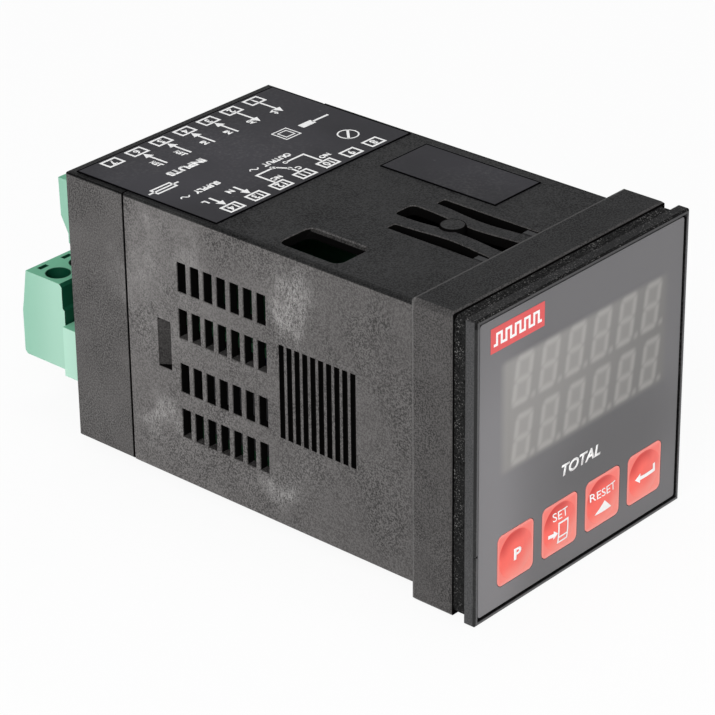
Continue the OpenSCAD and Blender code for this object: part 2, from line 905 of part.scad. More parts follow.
// Terminal plug with screw wells, clamp chambers, wire entries, contact slots and test slots
module plug(row) {
  half = block_half(row);
  nose = nose_half(row);
  nose_low = bases[row] + socket_wall + nose_gap;
  nose_high = bases[row] + socket_hs[row] - socket_wall - nose_gap;
  chamber = clamp_ws[row] / 2 + key_gap;
  entry = chamber - socket_wall / 2;
  slot = pin_side / 2 + fit;
  color("#8fd0ae")
  difference() {
    union() {
      slab_x(-half, half)
        block_profile(row);
      box([-nose, ends[row] - nose_len, nose_low], [nose, block_front(row) + graze, nose_high]);
    }
    at_poles(row) {
      translate([0, well_y(row), clamp_top(row)])
        cylinder(r = well_rs[row], h = block_hs[row]);
      box([-chamber, well_y(row) - chamber, clamp_low(row)],
        [chamber, well_y(row) + chamber, clamp_top(row) + key_gap]);
      box([-entry, well_y(row), clamp_low(row) + socket_wall],
        [entry, ends[row] + 2 * blocks[row], clamp_top(row) - 2 * socket_wall]);
      box([-slot, ends[row] - nose_len - over, pin_z(row) - slot], [slot, well_y(row), pin_z(row) + slot]);
      translate([0, block_front(row) + test_insets[row], 0])
        slab_z(clamp_top(row), block_top(row) + over)
          square(test_slots[row], center = true);
    }
  }
}

// Wire clamps: square cages with a round hole for the screw
module clamps(row) {
  half = clamp_ws[row] / 2;
  sheet = half / 3;
  color("#b7b4a4")
  at_poles(row)
    translate([0, well_y(row), clamp_low(row)])
      difference() {
        box([-half, -half, 0], [half, half, clamp_hs[row]]);
        box([sheet - half, -half - over, sheet], [half - sheet, half + over, clamp_hs[row] - 2 * sheet]);
        translate([0, 0, clamp_hs[row] - 2 * sheet - over])
          cylinder(r = clamp_screw_rs[row] + key_gap, h = 2 * sheet + 2 * over);
      }
}

// Clamp screws with slotted heads, down in the plug's wells
module clamp_screws(row) {
  head_r = well_rs[row] - key_gap;
  head_h = screw_head_hs[row];
  slot = head_h / 3;
  color("#9fa3a6")
  at_poles(row)
    translate([0, well_y(row), clamp_top(row) + key_gap])
      difference() {
        union() {
          cylinder(r = head_r, h = head_h);
          translate([0, 0, -clamp_hs[row] / 4])
            cylinder(r = clamp_screw_rs[row], h = clamp_hs[row] / 4 + graze);
        }
        box([-head_r - over, -slot / 2, head_h - slot], [head_r + over, slot / 2, head_h + over]);
      }
}

// Horizontal board with a header on its rear edge
module board(z) {
  color("#2f6b45")
  box([-board_half, board_y, z], [board_half, board_end, z + board_thick]);
}

// Pin strip between the display board and the signal board
module display_link() {
  half = link_ways * strip_pitch / 2;
  color("#232325")
  box([-half, board_back, signal_top], [half, board_back + strip_pitch, signal_top + strip_pitch]);
}

// Pins that join the signal board to the power board
module board_link() {
  x = board_half - rail_grip - 2 * strip_pitch / 3;
  color("#c9c6b8")
  for (i = [0 : board_ways - 1])
    translate([x, rail_y + i * strip_pitch, 0])
      slab_z(power_top, signal_z)
        square(strip_pin, center = true);
}

// Processor on the signal board
module microcontroller() {
  color("#1b1b1d")
  slab_z(signal_top, signal_top + chip_h)
    translate([0, chip_y])
      square(chip_side, center = true);
}

// Input isolators on the signal board, in front of the processor
module optocouplers() {
  color("#202022")
  for (i = [0 : isolators - 1])
    translate([(i - (isolators - 1) / 2) * isolator_pitch, isolator_y, signal_top + isolator_h / 2])
      cube([isolator_w, isolator_len, isolator_h], center = true);
}

// Laminated core with a window on each side of its middle leg
module transformer_core() {
  yoke = core_leg / 2;
  color("#6f7276")
  difference() {
    box([-core_w / 2, core_y, core_z], [core_w / 2, core_y + core_len, core_z + core_h]);
    for (sx = [0, 1])
      mirror([sx, 0, 0])
        box([core_leg / 2, core_y + yoke, core_z - over],
          [core_leg / 2 + core_window, core_y + core_len - yoke, core_z + core_h + over]);
  }
}

// Coil round the core's middle leg
module transformer_coil() {
  yoke = core_leg / 2 + coil_gap;
  hole = core_leg / 2 + coil_gap;
  half = hole + coil_wall;
  color("#b98b3e")
  difference() {
    box([-half, core_y + yoke, power_top], [half, core_y + core_len - yoke, power_top + coil_h]);
    box([-hole, core_y, core_z - coil_gap], [hole, core_y + core_len, core_z + core_h + coil_gap]);
  }
}

// Output relay on the power board
module relay() {
  right = board_half - 2 * part_gap;
  color("#2a62a8")
  box([right - relay_w, relay_end - relay_len, power_top], [right, relay_end, power_top + relay_h]);
}

// Smoothing capacitors, standing on the power board behind the transformer
module smoothing_capacitors() {
  color("#24335a")
  for (i = [0, 1])
    translate([0, core_y + core_len + (2 * i + 1) * (cap_r + part_gap), power_top])
      cylinder(r = cap_r, h = cap_h);
}

// Suppressor capacitor on the power board
module suppressor() {
  color("#c8b23a")
  translate([2 * part_gap - board_half, core_y + core_len + part_gap, power_top])
    cube(suppressor_size);
}

// Printed terminal label across the seam
module terminal_label() {
  color("#3b3a40")
  box([-label_half, label_y, case_half], [label_half, cover_end - label_margin, case_half + label_thick]);
}

// Blank label beside the moulded spring
module blank_label() {
  right = case_half - blank_side;
  color("#2d2d31")
  box([right - blank_w, blank_y, case_half], [right, blank_y + blank_len, case_half + label_thick]);
}

front_bezel();
front_gasket();
front_foil();
key(0);  // key_p
key(1);  // key_set
key(2);  // key_reset
key(3);  // key_enter
plunger(0);  // plunger_p
plunger(1);  // plunger_set
plunger(2);  // plunger_reset
plunger(3);  // plunger_enter
key_switches();
display_board();
board_screws();
digit_row(row_z + row_h / 2);  // upper_digits
digit_row(row_z - row_h / 2);  // lower_digits
housing();
rear_cover();
board(signal_z);  // signal_board
board(power_z);  // power_board
display_link();
board_link();
microcontroller();
optocouplers();
transformer_core();
transformer_coil();
relay();
smoothing_capacitors();
suppressor();
header(UPPER);  // upper_header
header(LOWER);  // lower_header
header_pins(UPPER);  // upper_pins
header_pins(LOWER);  // lower_pins
plug(UPPER);  // upper_plug
plug(LOWER);  // lower_plug
clamps(UPPER);  // upper_clamps
clamps(LOWER);  // lower_clamps
clamp_screws(UPPER);  // upper_screws
clamp_screws(LOWER);  // lower_screws
terminal_label();
blank_label();
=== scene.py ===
"""Panel counter: materials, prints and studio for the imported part, laid out as an add-on."""

import math

import bmesh
import bpy
from bpy.props import FloatProperty, FloatVectorProperty, IntProperty, PointerProperty
from mathutils import Matrix, Vector


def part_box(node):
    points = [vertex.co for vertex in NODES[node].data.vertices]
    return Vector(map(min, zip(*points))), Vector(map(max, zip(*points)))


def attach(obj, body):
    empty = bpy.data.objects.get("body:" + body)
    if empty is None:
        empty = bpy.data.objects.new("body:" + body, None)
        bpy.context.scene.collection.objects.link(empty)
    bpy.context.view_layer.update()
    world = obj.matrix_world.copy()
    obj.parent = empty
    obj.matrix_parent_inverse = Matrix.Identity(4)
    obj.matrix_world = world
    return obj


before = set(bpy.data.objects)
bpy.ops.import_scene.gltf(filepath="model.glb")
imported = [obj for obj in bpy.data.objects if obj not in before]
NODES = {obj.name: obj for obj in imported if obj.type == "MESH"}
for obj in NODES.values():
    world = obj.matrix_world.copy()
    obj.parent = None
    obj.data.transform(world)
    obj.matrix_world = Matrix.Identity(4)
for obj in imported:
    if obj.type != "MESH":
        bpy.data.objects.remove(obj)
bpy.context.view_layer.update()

bl_info = {
    "name": "Panel counter",
    "version": (1, 0, 0),
    "blender": (4, 5, 0),
    "location": "View3D > Sidebar > Counter",
    "description": "Dresses the solids of a panel counter with materials and prints",
    "category": "Object",
}

MM = 0.001


def edge(node, axis, side):
    """Lowest (side 0) or highest (side 1) place of a solid along an axis, in millimetres."""
    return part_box(node)[side][axis] / MM


def middle(node, axis):
    """Middle of a solid along an axis, in millimetres."""
    return (edge(node, axis, 0) + edge(node, axis, 1)) / 2


def span(node, axis):
    """Length of a solid along an axis, in millimetres."""
    return edge(node, axis, 1) - edge(node, axis, 0)


# Places of the solids, in millimetres
FOIL_FRONT = edge("front_foil", 1, 0)
LABEL_TOP = edge("terminal_label", 2, 1)
SKIN = edge("terminal_label", 2, 0)
SEAM = edge("housing", 1, 1)
REAR = edge("rear_cover", 1, 1)
RIM = edge("front_bezel", 0, 1)
FLOOR = edge("front_bezel", 2, 0)
KEYS = ("p", "set", "reset", "enter")
KEY_FIRST = middle("key_p", 0)
KEY_PITCH = middle("key_set", 0) - KEY_FIRST
KEY_HEIGHT = middle("key_p", 2)
DOME_RISE = FOIL_FRONT - edge("key_p", 1, 0)

# Housing: spring disc, clamp racks, latch windows, tongues, window lip and vent sills, in millimetres
DISC_PLACE = 12.6
DISC_RADIUS = 1.9
RACK_FRONT, RACK_REAR, RACK_HALF = 11.4, 26.8, 8.0
LATCH_FRONT, LATCH_REAR, LATCH_HALF = 48.1, 50.75, 4.0
TONGUE_FRONT, TONGUE_HALF = 48.75, 3.95
LIP_LEFT, LIP_RIGHT, LIP_FRONT, LIP_REAR = -13.5, -13.1, 16.3, 28.3
VENT_SILLS = (2.05, -14.55)
SILLS_FRONT = 28.3

# Front print: soft window over the digits, and the badge's corners, in millimetres
DISPLAY_LEFT, DISPLAY_RIGHT, DISPLAY_LOW, DISPLAY_HIGH = -17.9, 19.2, -1.9, 15.3
BADGE = (-20.7, 17.75, -9.05, 21.55)

# Test slots of the plugs: long, wide and distance behind the screw wells, in millimetres
TEST_SLOTS = {"upper": (1.2, 0.5, 2.7), "lower": (1.7, 0.7, 3.37)}

# Patches on the left wall, each a centre and a reach in millimetres
PALE_PATCH = ((-22.4, 50, 12), (6, 13, 17))
WIPED_PATCHES = (((-22.4, 25, 14.5), (6, 7, 9)), ((-22.4, 25.5, -14), (6, 7, 7)),
                 ((-22.4, 50, -14), (6, 8, 7)))

# Gaps that keep a print clear of its film, of a key's dome and of the digits' place, in millimetres
PRINT_GAP = 0.01
LEGEND_GAP = 0.03
DIGIT_GAP = 0.012

# Middle of the rows of numbered boxes along X, in millimetres
ROW_MIDDLE = -0.25

# Boldness of letters, and of the label's small words
BOLD = 0.03
SMALL_BOLD = 0.058

BLACK = (0.0, 0.0, 0.0, 1.0)
WHITE = (1.0, 1.0, 1.0, 1.0)


def length(name, description, default, **limits):
    """A length property with its default in millimetres."""
    return FloatProperty(name=name, description=description, default=default * MM, unit="LENGTH", **limits)


def shade(name, description, default):
    """A colour property."""
    return FloatVectorProperty(
        name=name, description=description, default=default, subtype="COLOR", min=0, max=1)


class CounterSizes(bpy.types.PropertyGroup):
    """Sizes of the prints and the view."""

    dome_radius: length("Dome radius", "Radius of a key's dome where it leaves the flat pad", 3.7, min=1 * MM)
    ink: length("Ink", "Thickness of the printed ink", 0.02, min=0.005 * MM)
    digits: IntProperty(name="Digits", description="Digits in a row of the display", default=6, min=1)
    digit_pitch: length("Digit pitch", "Distance between two digits", 5.85)
    digit_height: length("Digit height", "Height of a digit", 7.6)
    digit_width: length("Digit width", "Width of a digit over its segments", 3.9)
    digit_lean: FloatProperty(
        name="Digit lean", description="Lean of the digits to the right",
        default=math.radians(9), subtype="ANGLE")
    segment: length("Segment", "Width of a digit's segment", 0.9)
    glow_edge: length("Soft edge", "Width over which a segment fades behind the film", 0.5)
    digit_offset: FloatVectorProperty(
        name="Digit offset", description="Where the digits show on the film, from the middle of their row",
        default=(0.25 * MM, 0.6 * MM), size=2, unit="LENGTH")
    terminals: IntProperty(
        name="Terminals", description="Numbered boxes in a row of the label", default=7, min=1)
    terminal_pitch: length("Terminal pitch", "Distance between two numbered boxes", 5.16)
    box_width: length("Box width", "Width of a numbered box", 3.25)
    box_height: length("Box height", "Height of a numbered box", 2.45)
    print_line: length("Print line", "Width of the label's printed lines", 0.37)
    lens: FloatProperty(name="Lens", description="Focal length of the camera", default=161.55, unit="CAMERA")


class CounterColours(bpy.types.PropertyGroup):
    """Colours of the finishes."""

    case: shade("Case", "Moulded plastic of the housing and rear cover", (0.130, 0.123, 0.120))
    top: shade("Top", "Clean plastic of the housing's top", (0.029, 0.029, 0.029))
    bezel: shade("Bezel", "Moulded plastic of the front bezel", (0.034, 0.034, 0.035))
    foam: shade("Foam", "Foam of the gasket", (0.008, 0.008, 0.008))
    dust: shade("Dust", "Dust and scuffs on the plastics", (0.36, 0.352, 0.343))
    foil: shade("Foil", "Printed film of the front", (0.150, 0.146, 0.152))
    haze: shade("Display", "Display behind the film", (0.275, 0.266, 0.255))
    segment: shade("Segments", "Unlit segments behind the film", (0.90, 0.87, 0.82))
    key: shade("Keys", "Domed film of the keys", (0.88, 0.120, 0.090))
    badge: shade("Badge", "Red field of the front print", (0.72, 0.085, 0.085))
    ink: shade("Ink", "White print", (0.92, 0.92, 0.91))
    label: shade("Label", "Film of the labels", (0.030, 0.029, 0.034))
    terminal: shade("Plugs", "Moulded green of the terminal plugs", (0.330, 0.640, 0.480))
    header: shade("Headers", "Paler green of the headers", (0.480, 0.770, 0.620))


def sizes():
    return bpy.context.scene.counter_sizes


def colours():
    return bpy.context.scene.counter_colours


def rgba(colour, gain=1.0):
    """A colour with alpha, lightened or darkened by a factor."""
    return tuple(min(1.0, c * gain) for c in colour) + (1.0,)


class Graph:
    """Nodes of a tree, added from left to right and joined by their sockets."""

    def __init__(self, tree, owner=None):
        self.tree = tree
        self.owner = owner
        self.place = 0

    def put(self, socket, value):
        if isinstance(value, bpy.types.NodeSocket):
            self.tree.links.new(value, socket)
        else:
            socket.default_value = value

    def node(self, kind, values=None, **settings):
        made = self.tree.nodes.new(kind)
        made.location = (self.place, 0)
        self.place += 170
        for name, value in settings.items():
            setattr(made, name, value)
        for name, value in (values or {}).items():
            self.put(made.inputs[name], value)
        return made

    def group(self, name, values):
        """A copy of a shared effect with its own values."""
        return self.node("ShaderNodeGroup", values, node_tree=bpy.data.node_groups[name]).outputs

    def math(self, operation, a, b=None, clamp=False):
        made = self.node("ShaderNodeMath", operation=operation, use_clamp=clamp)
        for socket, value in zip(made.inputs, (a, b)):
            if value is not None:
                self.put(socket, value)
        return made.outputs[0]

    def plus(self, a, b):
        return self.math("ADD", a, b)

    def minus(self, a, b):
        return self.math("SUBTRACT", a, b)

    def over(self, a, b):
        return self.math("DIVIDE", a, b)

    def absolute(self, value):
        return self.math("ABSOLUTE", value)

    def chain(self, operation, values):
        total = values[0]
        for value in values[1:]:
            total = self.math(operation, total, value)
        return total

    def largest(self, *values):
        return self.chain("MAXIMUM", values)

    def times(self, *values):
        """The product of several values; a tuple of 3 stands for past() and one of 4 for band()."""
        masks = {3: self.past, 4: self.band}
        return self.chain("MULTIPLY", [masks[len(v)](*v) if isinstance(v, tuple) else v for v in values])

    def beyond(self, mask):
        """The part that a mask leaves out."""
        return self.minus(1.0, mask)

    def ramp(self, value, gain, start):
        """A value times a gain, on top of a start."""
        return self.plus(self.times(value, gain), start)

    def away(self, axis, place):
        """Distance along an axis from a place in millimetres."""
        return self.absolute(self.minus(axis, place * MM))

    def reach(self, u, v):
        """Largest distance from the origin along two axes."""
        return self.largest(self.absolute(u), self.absolute(v))

    def distance(self, u, v):
        """Distance from the origin of two axes."""
        return self.math("SQRT", self.plus(self.math("POWER", u, 2.0), self.math("POWER", v, 2.0)))

    def step(self, value, low, high):
        """0 below low and 1 above high, smooth between."""
        made = self.node("ShaderNodeMapRange", {0: value, 1: low, 2: high}, interpolation_type="SMOOTHSTEP")
        return made.outputs[0]

    def past(self, axis, low, high):
        """A step between two places in millimetres."""
        return self.step(axis, low * MM, high * MM)

    def band(self, axis, low, high, soft):
        """1 between two places along an axis, in millimetres, with soft ends."""
        return self.times(self.past(axis, low - soft, low + soft), self.past(axis, high + soft, high - soft))

    def soft_zone(self, axes, centre, reach):
        """1 near a centre, fading to 0 at its reach, both in millimetres along each axis."""
        total = None
        for axis, c, r in zip(axes, centre, reach):
            part = self.math("POWER", self.over(self.minus(axis, c * MM), r * MM), 2.0)
            total = part if total is None else self.plus(total, part)
        return self.step(total, 1.0, 0.0)

    def in_row(self, axis, first, pitch):
        """Place along an axis from the middle of the nearest member of a row."""
        turns = self.plus(self.over(self.minus(axis, first * MM), pitch * MM), 0.5)
        return self.times(self.minus(self.math("FRACT", turns), 0.5), pitch * MM)

    def noise(self, place, scale, detail=2.0, roughness=0.5, distortion=0.0):
        return self.node("ShaderNodeTexNoise", {
            "Vector": place, "Scale": scale, "Detail": detail, "Roughness": roughness,
            "Distortion": distortion}).outputs[0]

    def cells(self, place, scale):
        return self.node("ShaderNodeTexVoronoi", {"Vector": place, "Scale": scale}).outputs["Distance"]

    def stretch(self, place, factors, turn=(0, 0, 0)):
        return self.node("ShaderNodeMapping", {
            "Vector": place, "Rotation": turn, "Scale": factors}).outputs[0]

    def mix(self, factor, a, b, blend="MIX"):
        made = self.node("ShaderNodeMix", data_type="RGBA", blend_type=blend, clamp_factor=True)
        for name, value in (("Factor_Float", factor), ("A_Color", a), ("B_Color", b)):
            self.put(next(s for s in made.inputs if s.identifier == name), value)
        return next(s for s in made.outputs if s.identifier == "Result_Color")

    def tones(self, factor, colour, low, high):
        """From a colour times low to the same colour times high."""
        return self.mix(factor, rgba(colour, low), rgba(colour, high))

    def coat(self, base, *coats):
        """Lays colours over a base one after another, each as far as its mask says."""
        for mask, colour in coats:
            base = self.mix(mask, base, colour)
        return base

    def axes(self, place):
        return self.node("ShaderNodeSeparateXYZ", {0: place}).outputs

    def object_axes(self):
        """The place on the object and its three parts."""
        place = self.node("ShaderNodeTexCoord").outputs["Object"]
        return (place, *self.axes(place))

    def facing(self):
        """The three parts of the normal."""
        return self.axes(self.node("ShaderNodeTexCoord").outputs["Normal"])

    def bump(self, height, strength, distance):
        return self.node("ShaderNodeBump", {
            "Height": height, "Strength": strength, "Distance": distance}).outputs[0]

    def paint(self, base, roughness, gloss, normal=None, metallic=0.0):
        """Gives the material that owns the tree its shader and returns it."""
        shader = self.node("ShaderNodeBsdfPrincipled", {
            "Base Color": base, "Roughness": roughness, "Specular IOR Level": gloss, "Metallic": metallic})
        if normal:
            self.put(shader.inputs["Normal"], normal)
        self.node("ShaderNodeOutputMaterial", {"Surface": shader.outputs[0]})
        return self.owner


def effect(name, inputs, outputs):
    """An empty shader group with a Place and named values, its graph and its input sockets."""
    tree = bpy.data.node_groups.new(name, "ShaderNodeTree")
    tree.interface.new_socket(name="Place", in_out="INPUT", socket_type="NodeSocketVector")
    for label, default in inputs.items():
        socket = tree.interface.new_socket(name=label, in_out="INPUT", socket_type="NodeSocketFloat")
        socket.default_value = default
    for label in outputs:
        tree.interface.new_socket(name=label, in_out="OUTPUT", socket_type="NodeSocketFloat")
    graph = Graph(tree)
    return graph, graph.node("NodeGroupInput").outputs


def make_effects():
    """Groups that several finishes share: moulding grain, settled dust, scuffs and crumbs of foam."""
    graph, given = effect("moulding grain", {"Fine": 4000.0, "Broad": 120.0}, ["Height", "Mottle"])
    place = given["Place"]
    fine = graph.noise(place, given["Fine"], 2.0, 0.6)
    pits = graph.cells(place, graph.times(given["Fine"], 0.55))
    broad = graph.noise(place, given["Broad"], 4.0, 0.6)
    mottle = graph.plus(graph.times(graph.step(fine, 0.36, 0.64), 0.8),
                        graph.times(graph.step(broad, 0.3, 0.7), 0.2))
    graph.node("NodeGroupOutput", {"Height": graph.plus(fine, graph.times(pits, 0.5)), "Mottle": mottle})

    graph, given = effect("settled dust", {"Patch": 55.0, "Speck": 2600.0, "Amount": 0.5}, ["Dust"])
    place = given["Place"]
    patch = graph.step(graph.noise(place, given["Patch"], 3.0, 0.6), 0.35, 0.7)
    film = graph.step(graph.noise(place, given["Speck"], 3.0, 0.7), 0.42, 0.75)
    speck = graph.step(graph.cells(place, graph.times(given["Speck"], 0.3)), 0.16, 0.06)
    rare = graph.step(graph.noise(place, graph.times(given["Patch"], 9.0), 1.0), 0.6, 0.68)
    settled = graph.plus(graph.times(patch, film), graph.times(speck, rare, 1.6))
    graph.node("NodeGroupOutput", {"Dust": graph.math("MULTIPLY", settled, given["Amount"], True)})

    graph, given = effect("scuff marks", {"Mark": 800.0, "Amount": 0.5, "Spread": 0.0}, ["Scuff"])
    place = given["Place"]
    lines = []
    for turn in (0.5, 1.9, 2.7):
        along = graph.stretch(place, (0.25, 1.3, 0.55), (turn, turn * 0.7, turn * 1.3))
        ridge = graph.absolute(graph.minus(graph.noise(along, given["Mark"], 3.0, 0.6, 1.2), 0.5))
        lines.append(graph.step(ridge, 0.03, 0.006))
    cloud = graph.noise(place, graph.times(given["Mark"], 0.2), 2.0)
    where = graph.step(graph.plus(cloud, graph.times(given["Spread"], 0.13)), 0.5, 0.72)
    marks = graph.times(graph.largest(*lines), where)
    graph.node("NodeGroupOutput", {"Scuff": graph.math("MULTIPLY", marks, given["Amount"], True)})

    graph, given = effect("foam crumbs", {"Amount": 0.5}, ["Crumbs"])
    place = given["Place"]
    drift = graph.step(graph.noise(place, 330.0, 2.0, 0.5), 0.38, 0.62)
    fleck = graph.step(graph.noise(place, 4300.0, 3.0, 0.7), 0.57, 0.66)
    crumbs = graph.times(fleck, graph.ramp(drift, 0.8, 0.45))
    graph.node("NodeGroupOutput", {"Crumbs": graph.math("MULTIPLY", crumbs, given["Amount"], True)})


def empty_graph(owner):
    """The graph of a material or world whose nodes are cleared."""
    owner.use_nodes = True
    owner.node_tree.nodes.clear()
    return Graph(owner.node_tree, owner)


def finish(name):
    """The empty graph of a new material."""
    return empty_graph(bpy.data.materials.new(name))


def case_finish():
    """Grained black plastic: dusty sides, a clean top, a dark seam, and painted shade in openings and on
    edges.
    """
    graph = finish("case plastic")
    tint = colours()
    place, x, y, z = graph.object_axes()
    reach = graph.reach(x, z)
    grain = graph.group("moulding grain", {"Place": place})
    top = graph.times(graph.step(graph.facing()["Z"], 0.6, 0.85), (z, SKIN - 0.7, SKIN - 0.5))
    side = graph.beyond(top)

    # Dust and scuffs
    pale = graph.soft_zone((x, y, z), *PALE_PATCH)
    wiped = graph.largest(
        graph.times(pale, 0.55), *(graph.soft_zone((x, y, z), *patch) for patch in WIPED_PATCHES))
    haze = graph.times(graph.step(graph.noise(place, 190.0, 3.0, 0.6), 0.3, 0.7), 0.10, pale)
    dust = graph.group("settled dust", {"Place": place, "Amount": 0.45})["Dust"]
    dust = graph.times(side, graph.plus(graph.times(dust, graph.ramp(wiped, 0.6, 0.22)), haze))
    worn = graph.group("scuff marks", {"Place": place, "Amount": 0.42, "Spread": wiped})["Scuff"]
    worn = graph.times(worn, side, graph.plus(wiped, 0.06))

    # Plastic
    flank = graph.tones(graph.past(y, 0.0, SEAM), tint.case, 0.85, 1.2)
    ends = graph.plus(graph.past(y, SEAM + 0.1, SEAM + 0.2), graph.past(y, 0.1, 0.0))
    flank = graph.mix(graph.times(ends, 0.36), flank, rgba(tint.case, 0.25))
    base = graph.mix(side, rgba(tint.top), flank)
    # Painted shade on the rounded edges between the top and the sides, where the label's edge shades them
    painted_edge_shade = graph.times(
        (graph.absolute(x), SKIN - 0.95, SKIN - 0.8), (z, SKIN - 0.5, SKIN - 0.35), (y, 0.3, 0.6))
    base = graph.mix(painted_edge_shade, base, rgba(tint.top, 0.35))
    coarse = graph.mix(grain["Mottle"], (0.16, 0.16, 0.16, 1.0), (1.14, 1.14, 1.14, 1.0))
    uneven = graph.ramp(graph.step(graph.noise(place, 110.0, 2.0), 0.35, 0.65), 0.55, 0.45)
    base = graph.mix(uneven, base, coarse, "MULTIPLY")
    base = graph.coat(base, (dust, rgba(tint.dust)), (worn, rgba(tint.dust, 1.5)))

    # Painted shade: the outer skin keeps its colour; the openings, the rack's valleys, the disc's rim, the
    # latch windows and the flange's front face are painted near black
    front = edge("housing", 1, 0)
    rack = graph.times((graph.absolute(z), RACK_HALF + 0.2, RACK_HALF), (y, RACK_FRONT - 0.2, RACK_FRONT),
                       (y, RACK_REAR + 0.2, RACK_REAR))
    crest = graph.past(reach, SKIN - 0.09, SKIN - 0.03)
    outer = graph.past(reach, SKIN - 0.24, SKIN - 0.14)
    outer = graph.math("MINIMUM", outer, graph.largest(crest, graph.beyond(rack)))
    disc = graph.distance(x, graph.minus(y, DISC_PLACE * MM))
    ring = graph.times((graph.away(disc, DISC_RADIUS), 0.2, 0.1), (z, SKIN - 0.6, SKIN - 0.4))
    latch = graph.times((y, LATCH_FRONT, LATCH_REAR, 0.03), (z, -LATCH_HALF, LATCH_HALF, 0.03), side)
    outer = graph.times(outer, (y, front + 0.03, front + 0.1), graph.beyond(ring), graph.beyond(latch))

    # Inside the openings: the window's lip and the vent sills keep part of the outer colour as painted light,
    # the sunk latch tongue less of it, and the rear face all of it
    lip = graph.times((x, LIP_LEFT, LIP_RIGHT, 0.03), (y, LIP_FRONT, LIP_REAR, 0.05),
                      (z, SKIN - 0.6, SKIN - 0.5), 0.4)
    tongue = graph.times((y, TONGUE_FRONT, LATCH_REAR, 0.1), (z, -TONGUE_HALF, TONGUE_HALF, 0.05),
                         (reach, SKIN - 1.6, SKIN - 1.5), side, 0.27)
    sills = [graph.times((z, sill - 0.07, sill + 0.07, 0.03), (y, SILLS_FRONT - 0.3, SILLS_FRONT), 0.4)
             for sill in VENT_SILLS]
    back = graph.past(y, REAR - 0.5, REAR - 0.3)
    seam = graph.past(graph.away(y, SEAM + 0.12), 0.28, 0.16)
    skin_clear_of_shade_and_seam = graph.times(graph.largest(outer, lip, back, tongue, *sills), graph.beyond(seam))
    # Paints the shade near black, and the seam between housing and cover dark
    base = graph.mix(skin_clear_of_shade_and_seam, rgba(tint.case, 0.03), base)

    # Painted highlight along the flange's rear edge, in the dust colour
    painted_edge_highlight = graph.times((graph.away(y, -0.25), 0.4, 0.15), (reach, SKIN + 0.15, SKIN + 0.5), 0.17)
    base = graph.mix(painted_edge_highlight, base, rgba(tint.dust))
    dull = graph.plus(graph.times(top, 0.2), graph.times((y, 0.1, 0.0), 0.16))
    gloss = graph.times(skin_clear_of_shade_and_seam, graph.beyond(dull), graph.ramp(grain["Mottle"], 0.34, 0.1))
    return graph.paint(
        base, graph.ramp(grain["Mottle"], 0.14, 0.52), gloss, graph.bump(grain["Height"], 0.5, 0.00006))


def bezel_finish():
    """Grained black plastic with a crumbed top, painted shade on its top, rounded edge and groove, and a
    front rim paler with painted light.
    """
    graph = finish("bezel plastic")
    tint = colours()
    place, x, y, z = graph.object_axes()
    reach = graph.reach(x, z)
    front = edge("front_bezel", 1, 0)
    above = graph.past(z, RIM - 1.3, RIM - 1.1)
    crown = graph.times((z, RIM - 0.35, RIM - 0.1), (y, 0.2, 0.1))
    rim = graph.times((y, front + 0.12, front + 0.02), (reach, RIM - 0.28, RIM - 0.4))
    turned = graph.times((y, front + 0.42, front + 0.3), (reach, RIM - 0.32, RIM - 0.24))
    pocket = graph.times((y, front + 0.05, front + 0.2), (reach, RIM - 0.5, RIM - 0.62), (y, -8, -9))
    groove = graph.times(pocket, graph.beyond(above))
    hooks = graph.past(y, 0.2, 0.3)

    grain = graph.group("moulding grain", {"Place": place, "Broad": 240.0})
    dust = graph.group("settled dust", {"Place": place, "Amount": 0.12})["Dust"]
    crumbs = graph.group("foam crumbs", {"Place": place, "Amount": graph.times(crown, 0.42)})["Crumbs"]
    # Painted light and shade: the top darkened, the front rim paler on the sides than on top, the groove's
    # top wall paler, and the rounded edge and the groove near black
    base = graph.coat(
        graph.tones(grain["Mottle"], tint.bezel, 0.55, 1.9), (crown, rgba(tint.bezel, 0.2)),
        (rim, graph.tones(above, tint.bezel, 2.4, 1.3)), (hooks, rgba(tint.bezel, 0.9)),
        (graph.times(pocket, above), rgba(tint.bezel, 1.8)),
        (graph.largest(turned, groove), rgba(tint.bezel, 0.12)),
        (graph.largest(dust, crumbs), rgba(tint.dust)))
    dull = graph.largest(
        graph.times(crown, 0.4), graph.times(turned, above, 0.78), graph.times(groove, 0.85))
    gloss = graph.times(graph.beyond(dull), 0.35)
    return graph.paint(
        base, graph.ramp(grain["Mottle"], 0.12, 0.5), gloss, graph.bump(grain["Height"], 0.25, 0.00004))


def foam_finish():
    """Black open foam with pores, and pale crumbs that are thick on top and toward the flange."""
    graph = finish("gasket foam")
    tint = colours()
    place, _, y, _ = graph.object_axes()
    pores = graph.cells(place, 1500.0)
    fine = graph.noise(place, 5200.0, 3.0, 0.7)
    near = graph.past(y, edge("front_gasket", 1, 0), edge("front_gasket", 1, 1) - 0.5)
    near = graph.largest(near, graph.times(graph.step(graph.facing()["Z"], 0.5, 0.8), 0.8))
    amount = graph.ramp(near, 0.58, 0.08)
    crumbs = graph.group("foam crumbs", {"Place": place, "Amount": amount})["Crumbs"]
    base = graph.tones(graph.step(pores, 0.1, 0.5), tint.foam, 0.3, 1.5)
    base = graph.mix(crumbs, base, rgba(tint.dust, 0.85))
    height = graph.plus(pores, graph.times(fine, 0.6))
    return graph.paint(base, graph.ramp(fine, 0.1, 0.85), 0.1, graph.bump(height, 0.8, 0.0002))


